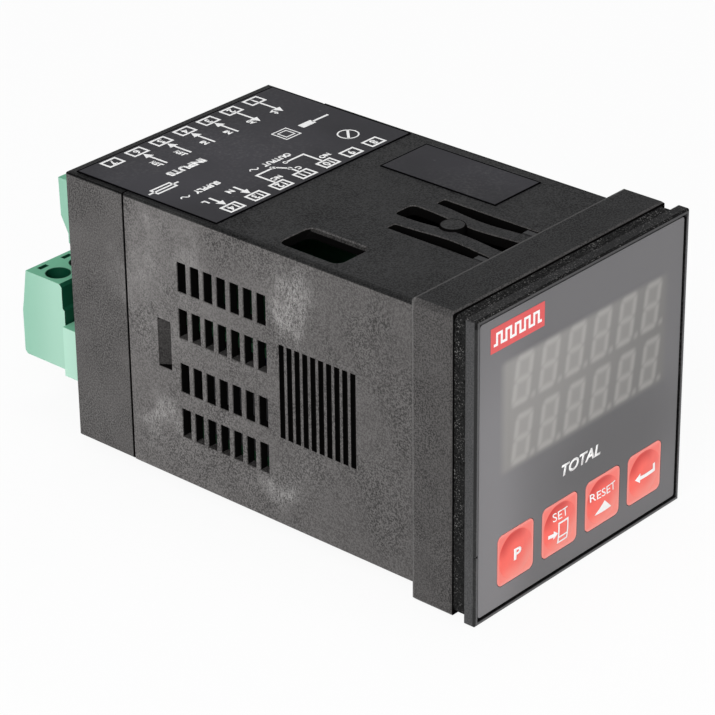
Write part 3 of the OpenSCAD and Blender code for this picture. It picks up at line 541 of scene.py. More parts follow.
def foil_finish():
    """Smoked printed film with a painted reflection: a soft window over the display, and segments where a
    piece carries them.
    """
    graph = finish("foil print")
    tint = colours()
    place, x, y, z = graph.object_axes()
    # Painted reflection: the film lighter toward the upper left and darker round a zone at its lower right
    left = graph.times((x, -9, -19.5), graph.ramp(graph.past(z, 23, 4), 0.7, 0.3))
    film = graph.tones(left, tint.foil, 0.73, 1.14)
    dim = graph.times(graph.soft_zone((x, y, z), (8, FOIL_FRONT, -8), (20, 5, 12)), 0.9)
    film = graph.mix(dim, film, rgba(tint.foil, 0.45))

    slope = graph.minus(x, graph.times(graph.minus(z, 9 * MM), 0.7))
    display = graph.tones(graph.past(slope, 30, -28), tint.haze, 0.44, 0.94)
    window = graph.times((x, DISPLAY_LEFT, DISPLAY_RIGHT, 1.0), (z, DISPLAY_LOW, DISPLAY_HIGH, 0.7))
    lit = graph.node("ShaderNodeAttribute", attribute_name="segment").outputs["Fac"]
    base = graph.coat(film, (window, display), (graph.times(lit, 0.15), rgba(tint.segment)))
    cloud = graph.noise(place, 300.0, 2.0, 0.5)
    return graph.paint(base, graph.ramp(cloud, 0.08, 0.26), 0.5, graph.bump(cloud, 0.02, 0.00003))


def key_finish():
    """Red domed film: a painted shadow inside the dome's upper rim, a painted reflection of the floor below
    it, paler on the flat pad and along the edges.
    """
    graph = finish("key film")
    tint = colours().key
    place, x, _, z = graph.object_axes()
    u = graph.in_row(x, KEY_FIRST, KEY_PITCH)
    v = graph.minus(z, KEY_HEIGHT * MM)
    radius = graph.distance(u, v)
    out = graph.over(radius, sizes().dome_radius)
    lean = graph.over(graph.minus(graph.times(v, 0.92), graph.times(u, 0.39)), radius)
    # Painted shadow inside the dome's upper rim, and painted reflection of the white floor on its lower part
    shadow = graph.times(graph.step(out, 1.01, 0.97), graph.step(out, 0.4, 1.0), graph.step(lean, 0.25, 0.95))
    painted_floor_reflection = graph.times(graph.step(out, 0.2, 0.95), graph.step(lean, 0.1, -0.9))
    pad = graph.step(out, 0.98, 1.06)
    border = graph.past(graph.reach(u, v), 3.35, 4.05)

    cloud = graph.noise(graph.stretch(place, (1.0, 1.0, 0.4), (0, 0.6, 0)), 900.0, 3.0, 0.6)
    base = graph.coat(
        graph.tones(cloud, tint, 0.92, 1.08), (graph.times(shadow, 0.85), (0.50, 0.018, 0.015, 1.0)),
        (graph.times(painted_floor_reflection, 0.7), (0.95, 0.27, 0.21, 1.0)), (graph.times(pad, 0.4), (0.86, 0.24, 0.20, 1.0)),
        (graph.times(border, 0.5), (0.88, 0.34, 0.30, 1.0)))
    return graph.paint(base, graph.ramp(cloud, 0.1, 0.3), 0.5, graph.bump(cloud, 0.05, 0.00005))


def ink_finish(name, colour, roughness=0.45):
    """Screen-printed ink, a little uneven."""
    graph = finish(name)
    cloud = graph.noise(graph.object_axes()[0], 1800.0, 3.0, 0.6)
    base = graph.tones(cloud, colour, 0.9, 1.06)
    return graph.paint(base, graph.ramp(cloud, 0.15, roughness), 0.4)


def label_finish(name, node, colour, gloss):
    """Dark film with a soft smear, a painted sheen across the middle, fine specks and a painted shadow along
    the cut edge.
    """
    graph = finish(name)
    place, x, y, z = graph.object_axes()
    smear = graph.noise(graph.stretch(place, (1.0, 0.45, 1.0), (0, 0, 0.6)), 70.0, 3.0, 0.5)
    # Painted sheen: a lighter zone across the middle of the terminal label
    painted_sheen = graph.soft_zone((x, y, z), (-6, 55, SKIN), (24, 15, 9))
    tone = graph.plus(graph.times(graph.step(smear, 0.35, 0.75), 0.45), graph.times(painted_sheen, 0.55))
    base = graph.tones(tone, colour, 0.6, 1.45)
    specks = {"Place": place, "Patch": 60.0, "Speck": 1900.0, "Amount": 0.1}
    base = graph.mix(graph.group("settled dust", specks)["Dust"], base, rgba(colours().dust))
    # Painted shadow along the label's cut edge: a dark band inside the outline, without gloss
    inset = []
    for axis, value in ((0, x), (1, y)):
        inset.append(graph.minus(span(node, axis) / 2 * MM, graph.away(value, middle(node, axis))))
    painted_edge_shadow = graph.past(graph.math("MINIMUM", *inset), 0.3, 0.2)
    base = graph.mix(painted_edge_shadow, base, rgba(colour, 0.08))
    gloss = graph.times(graph.beyond(painted_edge_shadow), gloss)
    ripple = graph.noise(place, 1400.0, 2.0)
    return graph.paint(base, graph.ramp(smear, 0.2, 0.32), gloss, graph.bump(ripple, 0.03, 0.00005))


def plug_painted_shade(graph, row, axes, facing):
    """Painted shade: 1 in a plug's screw wells, test slots and wire entries and on its front faces."""
    x, y, z = axes
    screws, clamps = row + "_screws", row + "_clamps"
    rear = edge(row + "_plug", 1, 1)
    radius = span(screws, 1) / 2
    pitch = (span(screws, 0) - 2 * radius) / (sizes().terminals - 1)
    u = graph.in_row(x, middle(screws, 0), pitch)
    far = graph.distance(u, graph.minus(y, middle(screws, 1) * MM))
    well = graph.past(far, radius + 0.25, radius + 0.15)
    long, wide, behind = TEST_SLOTS[row]
    slot_place = middle(screws, 1) + behind
    slot = graph.times((u, -long / 2 - 0.08, long / 2 + 0.08, 0.04),
                       (y, slot_place - wide / 2 - 0.1, slot_place + wide / 2 + 0.1, 0.04))
    front = graph.step(facing["Y"], -0.3, -0.7)
    half = span(clamps, 1) / 2 + 0.15
    entry = graph.times((u, -half, half, 0.05), (z, edge(clamps, 2, 0), edge(clamps, 2, 1), 0.2),
                        (y, rear - 1.8, rear - 3.2))
    return graph.largest(well, slot, front, entry)


def terminal_finish(name, tint, row=None):
    """Satin green moulding with painted shade: darker on top faces, and on a plug deep green in its wells,
    slots, entries and front faces.
    """
    graph = finish(name)
    place, x, y, z = graph.object_axes()
    facing = graph.facing()
    upward = graph.step(facing["Z"], 0.5, 0.9)
    flow = graph.noise(graph.stretch(place, (1.0, 1.0, 0.35)), 160.0, 3.0, 0.5)
    base = graph.tones(flow, tint, 0.94, 1.06)
    # Painted shade: top faces darker and deeper green
    base = graph.mix(graph.times(upward, 0.8), base, (0.13, 0.45, 0.27, 1.0))
    if row:
        rear = edge(row + "_plug", 1, 1)
        pale = graph.times((y, rear, rear - 9), graph.beyond(upward))
        base = graph.mix(pale, graph.mix(0.12, base, BLACK), graph.mix(0.11, base, WHITE))
        # Painted shade, deep green, in the wells, slots and entries and on the front faces
        base = graph.mix(plug_painted_shade(graph, row, (x, y, z), facing), base, (0.003, 0.060, 0.030, 1.0))
    fine = graph.noise(place, 3600.0, 2.0, 0.6)
    return graph.paint(base, graph.ramp(flow, 0.12, 0.38), 0.3, graph.bump(fine, 0.08, 0.00003))


def metal_finish(name, light, dark, roughness):
    """Plated or rolled metal with fine streaks."""
    graph = finish(name)
    streak = graph.noise(graph.stretch(graph.object_axes()[0], (1.0, 0.12, 1.0)), 2600.0, 3.0, 0.6)
    base = graph.mix(streak, dark, light)
    bump = graph.bump(streak, 0.1, 0.00003)
    return graph.paint(base, graph.ramp(streak, 0.2, roughness), 0.5, bump, metallic=0.9)


def inner_finish(name, dark, light, scale, roughness):
    """Board or component surface: two tones in fine noise."""
    graph = finish(name)
    cloud = graph.noise(graph.object_axes()[0], scale, 4.0, 0.6)
    base = graph.mix(graph.step(cloud, 0.3, 0.7), dark, light)
    return graph.paint(base, graph.ramp(cloud, 0.15, roughness), 0.5, graph.bump(cloud, 0.1, 0.00005))


def dress(material, *nodes):
    """Gives CAD solids a material."""
    for name in nodes:
        slots = NODES[name].data.materials
        slots.clear()
        slots.append(material)


def add_object(name, data):
    """A new object in the scene."""
    made = bpy.data.objects.new(name, data)
    bpy.context.scene.collection.objects.link(made)
    return made


class Ink:
    """Flat printed shapes, drawn in millimetres in a plane and then laid on a surface."""

    def __init__(self):
        self.shapes = bmesh.new()

    def polygon(self, points):
        self.shapes.faces.new([self.shapes.verts.new((u, v, 0)) for u, v in points])

    def stroke(self, points, line):
        """A line of straight pieces with mitred corners and square ends."""
        points = [Vector(point) for point in points]
        ways = [(b - a).normalized() for a, b in zip(points, points[1:])]
        points[0] -= ways[0] * line / 2
        points[-1] += ways[-1] * line / 2
        rims = []
        for i, point in enumerate(points):
            before, after = ways[max(i - 1, 0)], ways[min(i, len(ways) - 1)]
            mean = (before + after).normalized()
            side = Vector((-mean.y, mean.x)) * line / 2 / mean.dot(after)
            rims.append((point - side, point + side))
        for (a, b), (c, d) in zip(rims, rims[1:]):
            self.polygon([a, c, d, b])

    def box(self, left, low, right, high):
        """A filled box between two corners."""
        self.polygon([(left, low), (right, low), (right, high), (left, high)])

    def frame(self, u, v, width, height, line):
        """An open box round a centre."""
        corners = ((-1, -1), (1, -1), (1, 1), (-1, 1))
        outer, inner = ([(u + a * w, v + b * h) for a, b in corners] for w, h in (
            (width / 2, height / 2), (width / 2 - line, height / 2 - line)))
        self.loop(outer, inner)

    def loop(self, outer, inner):
        """A closed band between two outlines of as many points."""
        for i in range(len(outer)):
            j = (i + 1) % len(outer)
            self.polygon([outer[i], outer[j], inner[j], inner[i]])

    def ring(self, u, v, radius, line, steps=24):
        turns = [2 * math.pi * i / steps for i in range(steps)]
        self.loop(*([(u + r * math.cos(t), v + r * math.sin(t)) for t in turns]
                    for r in (radius, radius - line)))

    def arrow(self, tail, tip, line, head, spread):
        """A line with a filled head at its tip."""
        a, b = Vector(tail), Vector(tip)
        along = (b - a).normalized()
        side = Vector((-along.y, along.x)) * spread
        neck = b - along * head
        self.stroke([a, neck - along * line / 2], line)
        self.polygon([neck - side, b, neck + side])

    def wave(self, u, v, width, height, line, steps=12):
        """One period of a sine."""
        turns = [i / steps for i in range(steps + 1)]
        points = [(u + width * (t - 0.5), v + height / 2 * math.sin(2 * math.pi * t)) for t in turns]
        self.stroke(points, line)

    def word(self, text, u, v, height, width=None, turn=0.0, bold=0.0, shear=0.0):
        """Letters of a cap height centred on a point."""
        curve = bpy.data.curves.new("letters", "FONT")
        curve.body = text
        curve.align_x, curve.align_y = "CENTER", "CENTER"
        curve.offset, curve.shear = bold, shear
        curve.resolution_u = 4
        holder = add_object("letters", curve)
        graph = bpy.context.evaluated_depsgraph_get()
        mesh = bpy.data.meshes.new_from_object(holder.evaluated_get(graph))
        low = [min(p.co[i] for p in mesh.vertices) for i in (0, 1)]
        high = [max(p.co[i] for p in mesh.vertices) for i in (0, 1)]
        grow = height / (high[1] - low[1])
        wide = grow if width is None else width / (high[0] - low[0])
        mesh.transform(
            Matrix.Translation((u, v, 0)) @ Matrix.Rotation(turn, 4, "Z")
            @ Matrix.Diagonal((wide, grow, 1, 1))
            @ Matrix.Translation((-(low[0] + high[0]) / 2, -(low[1] + high[1]) / 2, 0)))
        self.shapes.from_mesh(mesh)
        bpy.data.objects.remove(holder)
        bpy.data.meshes.remove(mesh)
        bpy.data.curves.remove(curve)

    def solid(self, name, surface, finest=None):
        """A thin mesh of the shapes: surface turns (u, v, w) in millimetres into a place."""
        ink = self.shapes
        bmesh.ops.remove_doubles(ink, verts=ink.verts, dist=1e-5)
        if finest:
            bmesh.ops.triangulate(ink, faces=ink.faces)
            for _ in range(4):
                long = [e for e in ink.edges if e.calc_length() > finest]
                if not long:
                    break
                bmesh.ops.subdivide_edges(ink, edges=long, cuts=1)
                bmesh.ops.triangulate(ink, faces=ink.faces)
        grown = bmesh.ops.extrude_face_region(ink, geom=list(ink.faces))
        for vert in (g for g in grown["geom"] if isinstance(g, bmesh.types.BMVert)):
            vert.co.z += sizes().ink / MM
        for vert in ink.verts:
            vert.co = Vector(surface(*vert.co)) * MM
        bmesh.ops.recalc_face_normals(ink, faces=ink.faces)
        mesh = bpy.data.meshes.new(name)
        ink.to_mesh(mesh)
        ink.free()
        return mesh

    def lay(self, name, surface, body, slot, material, finest=None):
        """Makes one finished piece of the shapes on a surface."""
        mesh = self.solid(name, surface, finest)
        mesh.materials.append(material)
        keep(mesh, body)


def keep(mesh, body):
    """Turns a mesh into a piece of the same name that rides on a body."""
    piece = add_object(mesh.name, mesh)
    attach(piece, body)


def row_tree():
    """Geometry nodes that repeat one piece along a straight row."""
    tree = bpy.data.node_groups.get("row of copies")
    if tree:
        return tree
    tree = bpy.data.node_groups.new("row of copies", "GeometryNodeTree")
    for label, kind in (("Piece", "Object"), ("Count", "Int"), ("Start", "Vector"), ("Pitch", "Vector"),
                        ("Material", "Material")):
        tree.interface.new_socket(name=label, in_out="INPUT", socket_type="NodeSocket" + kind)
    tree.interface.new_socket(name="Row", in_out="OUTPUT", socket_type="NodeSocketGeometry")
    graph = Graph(tree)
    given = graph.node("NodeGroupInput").outputs
    line = graph.node("GeometryNodeMeshLine", {
        "Count": given["Count"], "Start Location": given["Start"], "Offset": given["Pitch"]}, mode="OFFSET")
    piece = graph.node("GeometryNodeObjectInfo", {"Object": given["Piece"]})
    copies = graph.node("GeometryNodeInstanceOnPoints", {
        "Points": line.outputs[0], "Instance": piece.outputs["Geometry"]})
    solid = graph.node("GeometryNodeRealizeInstances", {0: copies.outputs[0]})
    done = graph.node("GeometryNodeSetMaterial", {
        "Geometry": solid.outputs[0], "Material": given["Material"]})
    graph.node("NodeGroupOutput", {"Row": done.outputs[0]})
    return tree


def repeat(name, pattern, count, start, pitch, body, material):
    """A row of copies of a pattern mesh as one finished piece."""
    holder = add_object(name + ".pattern", pattern)
    carrier = add_object(name + ".row", bpy.data.meshes.new(name + ".row"))
    row = carrier.modifiers.new("row", "NODES")
    row.node_group = row_tree()
    values = {"Piece": holder, "Count": count, "Start": start, "Pitch": pitch, "Material": material}
    for socket in row.node_group.interface.items_tree:
        if socket.in_out == "INPUT":
            row[socket.identifier] = values[socket.name]
    graph = bpy.context.evaluated_depsgraph_get()
    mesh = bpy.data.meshes.new_from_object(
        carrier.evaluated_get(graph), preserve_all_data_layers=True, depsgraph=graph)
    if not mesh.vertices:
        raise RuntimeError("the row of " + name + " came out empty")
    mesh.name = name
    for thing in (carrier, holder):
        bpy.data.objects.remove(thing)
    keep(mesh, body)


def on_foil(u, v, w):
    return u, FOIL_FRONT - PRINT_GAP - w, v


def on_badge(u, v, w):
    """Surface of the badge's ink."""
    return on_foil(u, v, w + sizes().ink / MM)


def on_label(u, v, w):
    return u, v, LABEL_TOP + PRINT_GAP + w


def on_key(index):
    """Surface of a key: its flat pad and the dome on it, round the key's centre."""
    dome = sizes().dome_radius / MM
    ball = (dome * dome + DOME_RISE * DOME_RISE) / (2 * DOME_RISE)
    x = KEY_FIRST + index * KEY_PITCH

    def surface(u, v, w):
        r = math.hypot(u, v)
        rise = DOME_RISE - ball + math.sqrt(ball * ball - r * r) if r < dome else 0.0
        return x + u, FOIL_FRONT - rise - LEGEND_GAP - w, KEY_HEIGHT + v

    return surface


class COUNTER_OT_case(bpy.types.Operator):
    """Gives the housing, rear cover, bezel and gasket their finishes."""

    bl_idname = "counter.case"
    bl_label = "Case, bezel and gasket"

    def execute(self, context):
        make_effects()
        dress(case_finish(), "housing", "rear_cover")
        dress(bezel_finish(), "front_bezel")
        dress(foam_finish(), "front_gasket")
        return {"FINISHED"}


class COUNTER_OT_front(bpy.types.Operator):
    """Gives the front film its print: display window, badge and word."""

    bl_idname = "counter.front"
    bl_label = "Front film and print"

    def execute(self, context):
        tint = colours()
        dress(foil_finish(), "front_foil", "upper_digits", "lower_digits")
        white = ink_finish("white ink", tint.ink)
        red = ink_finish("badge ink", tint.badge, 0.32)

        field = Ink()
        field.box(*BADGE)
        field.lay("badge_field", on_foil, "case", "foil_print", red)

        marks = Ink()
        low, high, pulse = 18.85, 20.45, 1.0
        start, first, end = -19.85, -19.375, -9.9
        train = [(start, low)]
        for i in range(5):
            rise = first + 2 * pulse * i
            train += [(rise, low), (rise, high), (rise + pulse, high), (rise + pulse, low)]
        marks.stroke(train + [(end, low)], 0.4)
        marks.lay("badge_marks", on_badge, "case", "foil_print", white)

        word = Ink()
        word.word("TOTAL", 0.0, -7.15, 1.9, 9.0, bold=BOLD, shear=0.2)
        word.lay("front_word", on_foil, "case", "foil_print", white)
        return {"FINISHED"}


def fade(far, reach):
    """1 inside an outline and 0 outside it, smooth over a reach to both sides."""
    t = max(0.0, min(1.0, 0.5 - far / (2 * reach)))
    return t * t * (3 - 2 * t)


def digit_cell():
    """One digit's place as a fine grid whose points say how far they lie in a segment."""
    size = sizes()
    pitch, high = size.digit_pitch / MM, 9.1
    stroke, rise = (size.digit_width - size.segment) / MM, (size.digit_height - size.segment) / 2 / MM
    half, soft, lean = size.segment / 2 / MM, size.glow_edge / MM, math.tan(size.digit_lean)
    side, near = stroke / 2, rise / 2 - 1.5 * half
    lines = [((-side + half, k * rise), (side - half, k * rise)) for k in (-1, 0, 1)]
    lines += [((s * side, k * rise / 2 - near), (s * side, k * rise / 2 + near))
              for s in (-1, 1) for k in (-1, 1)]
    point = (side + 3 * half, -rise)

    def inside(u, v):
        u = u - lean * v
        best = math.hypot(u - point[0], v - point[1]) - half
        for (u0, v0), (u1, v1) in lines:
            du, dv = u1 - u0, v1 - v0
            t = max(0.0, min(1.0, ((u - u0) * du + (v - v0) * dv) / (du * du + dv * dv)))
            best = min(best, math.hypot(u - u0 - t * du, v - v0 - t * dv) - half)
        outline = math.hypot(max(abs(u) - side, 0.0), max(abs(v) - rise, 0.0)) - half
        return 0.66 * fade(best, soft) + 0.34 * fade(outline, soft * 0.7)

    across, up = 36, 56
    row = across + 1
    places = [(pitch * (i / across - 0.5), high * (j / up - 0.5)) for j in range(up + 1) for i in range(row)]
    corners = [j * row + i for j in range(up) for i in range(across)]
    mesh = bpy.data.meshes.new("digit cell")
    mesh.from_pydata([(u * MM, 0, v * MM) for u, v in places], [],
                     [(c, c + 1, c + row + 1, c + row) for c in corners])
    level = mesh.attributes.new("segment", "FLOAT", "POINT")
    level.data.foreach_set("value", [inside(u, v) for u, v in places])
    return mesh


class COUNTER_OT_digits(bpy.types.Operator):
    """Lays the two rows of unlit digits, as they show through the film."""

    bl_idname = "counter.digits"
    bl_label = "Digit rows"

    def execute(self, context):
        size = sizes()
        cell = digit_cell()
        for name, node in (("upper_digit_print", "upper_digits"), ("lower_digit_print", "lower_digits")):
            first = middle(node, 0) * MM - (size.digits - 1) / 2 * size.digit_pitch + size.digit_offset[0]
            start = (first, (FOIL_FRONT - DIGIT_GAP) * MM, middle(node, 2) * MM + size.digit_offset[1])
            repeat(name, cell, size.digits, start, (size.digit_pitch, 0, 0), "case",
                   bpy.data.materials["foil print"])
        return {"FINISHED"}


class COUNTER_OT_keys(bpy.types.Operator):
    """Gives the keys their film and their legends."""

    bl_idname = "counter.keys"
    bl_label = "Keys and legends"

    def execute(self, context):
        dress(key_finish(), *("key_" + key for key in KEYS))
        white = ink_finish("key ink", colours().ink, 0.38)
        letter, page, wedge, bent = legends = [Ink() for _ in KEYS]
        letter.word("P", 0.0, 0.1, 1.84, 1.65, bold=BOLD)
        page.word("SET", -0.18, 1.98, 1.3, 3.4)
        page.frame(0.4, -0.9, 2.4, 3.5, 0.28)
        page.stroke([(-0.38, -1.62), (1.18, -1.62)], 0.26)
        page.box(-2.8, -1.1, -1.7, -0.5)
        page.polygon([(-1.75, -1.5), (-0.85, -0.8), (-1.75, -0.1)])
        wedge.word("RESET", -0.15, 1.33, 1.25, 5.9)
        wedge.polygon([(-2.05, -1.9), (1.85, -1.9), (0.0, -0.1)])
        bent.polygon([(-2.5, -0.15), (-1.4, -0.95), (-1.4, 0.65)])
        bent.box(-1.45, -0.45, 2.3, 0.15)
        bent.box(1.7, 0.1, 2.3, 0.95)
        for index, key in enumerate(KEYS):
            legends[index].lay(key + "_legend", on_key(index), key + "_button", "key_red", white, 0.45)
        return {"FINISHED"}


def at(i):
    """Place along X of the i-th numbered box of a row, counted from the right, in millimetres."""
    return ROW_MIDDLE + ((sizes().terminals - 1) / 2 - i) * (sizes().terminal_pitch / MM)


def print_arrows(text, line):
    """Arrows and words of the inputs and of the supply."""
    inner, outer = 59.5, 64.35
    words = (("V+", False), ("0V", False), ("IN", True), ("IN", True), ("RST", True), ("RST", True))
    for i, (word, into) in enumerate(words):
        ends = ((at(i), inner), (at(i), outer))
        text.arrow(*(ends if into else ends[::-1]), line, 1.5, 0.8)
        text.word(word, at(i) - 1.25, 60.3, 1.1, turn=-math.pi / 2, bold=SMALL_BOLD)
    for i, word in ((5, "N"), (6, "L")):
        text.arrow((at(i), 45.5), (at(i), 42.25), line, 1.4, 0.75)
        text.word(word, at(i) - 1.45, 45.0, 1.2, turn=math.pi, bold=SMALL_BOLD)
    for word, x, y, height, width in (("SUPPLY", -13.2, 48.6, 1.25, None), ("INPUTS", -9.9, 56.0, 1.6, 7.6),
                                      ("OUTPUT", 0.8, 47.6, 1.2, None)):
        text.word(word, x, y, height, width, turn=math.pi, bold=SMALL_BOLD)
    for x, y in ((-4.0, 47.7), (-17.7, 48.6)):
        text.wave(x, y, 1.6, 0.7, 0.22)


def print_relay(text, line):
    """Change-over contact of the output with its words."""
    low, high, radius, rim = 42.2, 45.9, 0.42, 0.2
    text.stroke([(at(2), low), (at(2), high), (1.2, high)], line)
    text.ring(0.9, high, radius, rim)
    text.stroke([(at(4), low), (at(4), high), (-2.05, high)], line)
    text.ring(-1.7, high, radius, rim)
    text.stroke([(at(3), low), (at(3), 43.6)], line)
    text.ring(at(3), 43.95, radius, rim)
    text.stroke([(at(3) - 0.2, 44.3), (-1.85, 46.3)], line)
    for word, x in (("NO", at(2) + 1.65), ("C", at(3) + 1.05), ("NC", at(4) + 1.35)):
        text.word(word, x, 43.1, 1.05, turn=math.pi, bold=SMALL_BOLD)


def print_signs(text):
    """Nested squares, a screw head, a stripped wire and a fuse."""
    for side, line in ((3.35, 0.22), (2.05, 0.2)):
        text.frame(8.95, 53.1, side, side, line)
    text.ring(14.9, 45.8, 1.75, 0.24)
    text.stroke([(13.9, 44.8), (15.9, 46.8)], 0.42)
    text.box(12.4, 52.6, 15.2, 53.9)
    text.stroke([(15.2, 53.25), (18.4, 53.25)], 0.42)
    text.frame(-17.5, 53.2, 4.2, 1.9, 0.34)
    text.stroke([(-20.4, 53.2), (-14.6, 53.2)], 0.34)


class COUNTER_OT_labels(bpy.types.Operator):
    """Gives the labels their film and prints the terminal plan."""

    bl_idname = "counter.labels"
    bl_label = "Labels and terminal print"

    def execute(self, context):
        size, tint = sizes(), colours()
        dress(label_finish("label film", "terminal_label", tint.label, 0.22), "terminal_label")
        dress(label_finish("blank label film", "blank_label", tint.label, 0.2), "blank_label")
        white = bpy.data.materials["white ink"]
        line = size.print_line / MM

        pattern = Ink()
        pattern.frame(0, 0, size.box_width / MM, size.box_height / MM, line)
        box = pattern.solid("number box", lambda u, v, w: (u, v, w))
        text = Ink()
        for name, y, first in (("rear", 65.65, 1), ("front", 40.9, 1 + size.terminals)):
            start = (at(size.terminals - 1) * MM, y * MM, (LABEL_TOP + PRINT_GAP) * MM)
            repeat(name + "_number_boxes", box, size.terminals, start, (size.terminal_pitch, 0, 0),
                   "case", white)
            for i in range(size.terminals):
                text.word(str(first + i), at(i), y, 1.5, turn=math.pi, bold=BOLD)
        print_arrows(text, line)
        print_relay(text, line)
        print_signs(text)
        text.lay("terminal_print", on_label, "case", "label_film", white)
        return {"FINISHED"}


class COUNTER_OT_terminals(bpy.types.Operator):
    """Gives the plugs, headers, clamps, screws and pins their finishes."""

    bl_idname = "counter.terminals"
    bl_label = "Terminals"

    def execute(self, context):
        for row in TEST_SLOTS:
            dress(terminal_finish(row + " plug green", colours().terminal, row), row + "_plug")
        dress(terminal_finish("header green", colours().header), "upper_header", "lower_header")
        dress(metal_finish("zinc plating", (0.62, 0.63, 0.64, 1), (0.4, 0.41, 0.43, 1), 0.28),
              "upper_clamps", "lower_clamps", "upper_screws", "lower_screws", "board_screws")
        dress(metal_finish("tinned brass", (0.68, 0.65, 0.56, 1), (0.48, 0.45, 0.36, 1), 0.25),
              "upper_pins", "lower_pins", "board_link")
        return {"FINISHED"}


class COUNTER_OT_inside(bpy.types.Operator):
    """Gives the boards and what they carry their finishes."""

    bl_idname = "counter.inside"
    bl_label = "Boards and components"

    def execute(self, context):
        dress(metal_finish("varnished core", (0.24, 0.24, 0.25, 1), (0.12, 0.12, 0.13, 1), 0.4),
              "transformer_core")
        plungers = ["plunger_" + key for key in KEYS]
        for name, dark, light, scale, roughness, nodes in (
                ("board laminate", (0.012, 0.075, 0.030, 1), (0.024, 0.125, 0.052, 1), 260.0, 0.4,
                 ["display_board", "signal_board", "power_board"]),
                ("switch plastic", (0.010, 0.010, 0.011, 1), (0.022, 0.022, 0.023, 1), 2400.0, 0.5,
                 ["key_switches", "display_link", "microcontroller", "optocouplers", *plungers]),
                ("coil tape", (0.05, 0.030, 0.012, 1), (0.08, 0.05, 0.02, 1), 700.0, 0.45,
                 ["transformer_coil"]),
                ("relay case", (0.016, 0.09, 0.30, 1), (0.024, 0.125, 0.39, 1), 500.0, 0.35, ["relay"]),
                ("capacitor sleeve", (0.015, 0.022, 0.08, 1), (0.026, 0.036, 0.12, 1), 600.0, 0.35,
                 ["smoothing_capacitors"]),
                ("suppressor case", (0.03, 0.03, 0.032, 1), (0.05, 0.05, 0.052, 1), 500.0, 0.4,
                 ["suppressor"])):
            dress(inner_finish(name, dark, light, scale, roughness), *nodes)
        return {"FINISHED"}


def paper_white(graph, paper):
    """Joins lit paper and a white that the camera, reflections and glass see, for a plain ground."""
    path = graph.node("ShaderNodeLightPath").outputs
    beyond_camera = graph.plus(path["Is Glossy Ray"], path["Is Transmission Ray"])
    seen = graph.math("ADD", path["Is Camera Ray"], beyond_camera, True)
    white = graph.node("ShaderNodeEmission", {"Color": WHITE, "Strength": 1.0}).outputs[0]
    return graph.node("ShaderNodeMixShader", {0: graph.times(seen, 0.92), 1: paper, 2: white}).outputs[0]


def set_world():
    """A room that is white at the horizon and grey above."""
    world = bpy.data.worlds.new("studio")
    graph = empty_graph(world)
    rise = graph.object_axes()[3]
    sky = graph.mix(graph.step(rise, 0.02, 0.3), WHITE, (0.30, 0.30, 0.31, 1))
    room = graph.node("ShaderNodeBackground", {"Color": sky, "Strength": 1.0}).outputs[0]
    graph.node("ShaderNodeOutputWorld", {"Surface": room})
    bpy.context.scene.world = world


def lay_floor():
    """A wide sheet of white paper under the bezel."""
    reach = 3.0
    mesh = bpy.data.meshes.new("floor")
    corners = [(x * reach, y * reach, FLOOR * MM) for x, y in ((-1, -1), (1, -1), (1, 1), (-1, 1))]
    mesh.from_pydata(corners, [], [(0, 1, 2, 3)])
    material = bpy.data.materials.new("floor paper")
    graph = empty_graph(material)
    fibre = graph.noise(graph.object_axes()[0], 400.0, 3.0)
    tone = graph.mix(fibre, (0.84, 0.84, 0.84, 1), (0.88, 0.88, 0.88, 1))
    paper = graph.node("ShaderNodeBsdfDiffuse", {"Color": tone}).outputs[0]
    graph.node("ShaderNodeOutputMaterial", {"Surface": paper_white(graph, paper)})
    mesh.materials.append(material)
    floor = add_object("floor", mesh)


def hang_lights(target):
    """Three square lamps that face a target."""
    for name, place, side, power in (("key light", (-0.72, -0.34, 0.55), 0.7, 7.0),
                                     ("front light", (0.20, -0.90, 0.30), 0.7, 2.4),
                                     ("top light", (0.10, 0.15, 0.95), 0.5, 2.2)):
        lamp = bpy.data.lights.new(name, "AREA")
        lamp.energy, lamp.size = power, side
        holder = add_object(name, lamp)
        holder.location = place
        holder.rotation_euler = (target - Vector(place)).to_track_quat("-Z", "Y").to_euler()


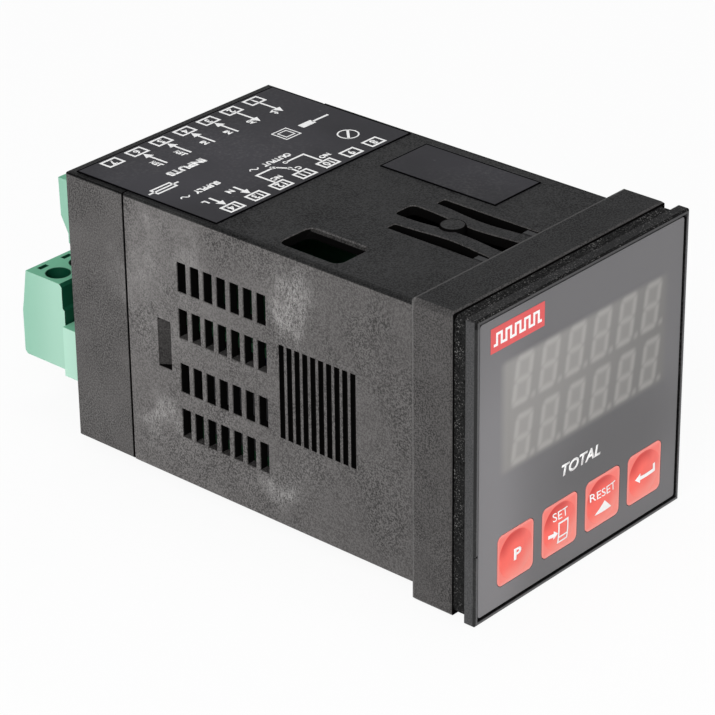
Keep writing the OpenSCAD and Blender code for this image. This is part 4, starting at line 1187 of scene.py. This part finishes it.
def aim_camera(target):
    """The camera of the photograph: its angles, and its distance and shift in millimetres."""
    azimuth, height, roll = (math.radians(a) for a in (-48.24, 27.27, -0.66))
    distance, shift_right, shift_up = 475.8, -4.53, -2.565
    flat = math.cos(height)
    back = Vector((math.sin(azimuth) * flat, -math.cos(azimuth) * flat, math.sin(height)))
    level = Vector((math.cos(azimuth), math.sin(azimuth), 0))
    above = back.cross(level)
    right = math.cos(roll) * level + math.sin(roll) * above
    up = math.cos(roll) * above - math.sin(roll) * level
    eye = target + (distance * back + shift_right * right + shift_up * up) * MM
    camera = bpy.data.cameras.new("camera")
    camera.lens, camera.sensor_width = sizes().lens, 36.0
    camera.clip_start, camera.clip_end = 0.01, 20.0
    holder = add_object("camera", camera)
    holder.matrix_world = Matrix.Translation(eye) @ Matrix((right, up, back)).transposed().to_4x4()
    bpy.context.scene.camera = holder


class COUNTER_OT_stage(bpy.types.Operator):
    """Sets up the floor, the light and the camera."""

    bl_idname = "counter.stage"
    bl_label = "Stage"

    def execute(self, context):
        context.scene.view_settings.view_transform = "Standard"
        target = Vector((0, 0.025, 0))
        set_world()
        lay_floor()
        hang_lights(target)
        aim_camera(target)
        return {"FINISHED"}


OPERATORS = (COUNTER_OT_case, COUNTER_OT_front, COUNTER_OT_digits, COUNTER_OT_keys, COUNTER_OT_labels,
             COUNTER_OT_terminals, COUNTER_OT_inside, COUNTER_OT_stage)


class COUNTER_PT_sidebar(bpy.types.Panel):
    """Lists the steps, sizes and colours of the panel counter."""

    bl_idname = "COUNTER_PT_sidebar"
    bl_label = "Panel counter"
    bl_space_type = "VIEW_3D"
    bl_region_type = "UI"
    bl_category = "Counter"

    def draw(self, context):
        layout = self.layout
        for step in OPERATORS:
            layout.operator(step.bl_idname)
        for group in (context.scene.counter_sizes, context.scene.counter_colours):
            column = layout.column(align=True)
            for name in group.__annotations__:
                column.prop(group, name)


CLASSES = (CounterSizes, CounterColours, *OPERATORS, COUNTER_PT_sidebar)


def register():
    for cls in CLASSES:
        bpy.utils.register_class(cls)
    bpy.types.Scene.counter_sizes = PointerProperty(type=CounterSizes)
    bpy.types.Scene.counter_colours = PointerProperty(type=CounterColours)


def unregister():
    del bpy.types.Scene.counter_colours
    del bpy.types.Scene.counter_sizes
    for cls in reversed(CLASSES):
        bpy.utils.unregister_class(cls)


def main():
    register()
    bpy.ops.counter.case()
    bpy.ops.counter.front()
    bpy.ops.counter.digits()
    bpy.ops.counter.keys()
    bpy.ops.counter.labels()
    bpy.ops.counter.terminals()
    bpy.ops.counter.inside()
    bpy.ops.counter.stage()


if __name__ == "__main__":
    main()
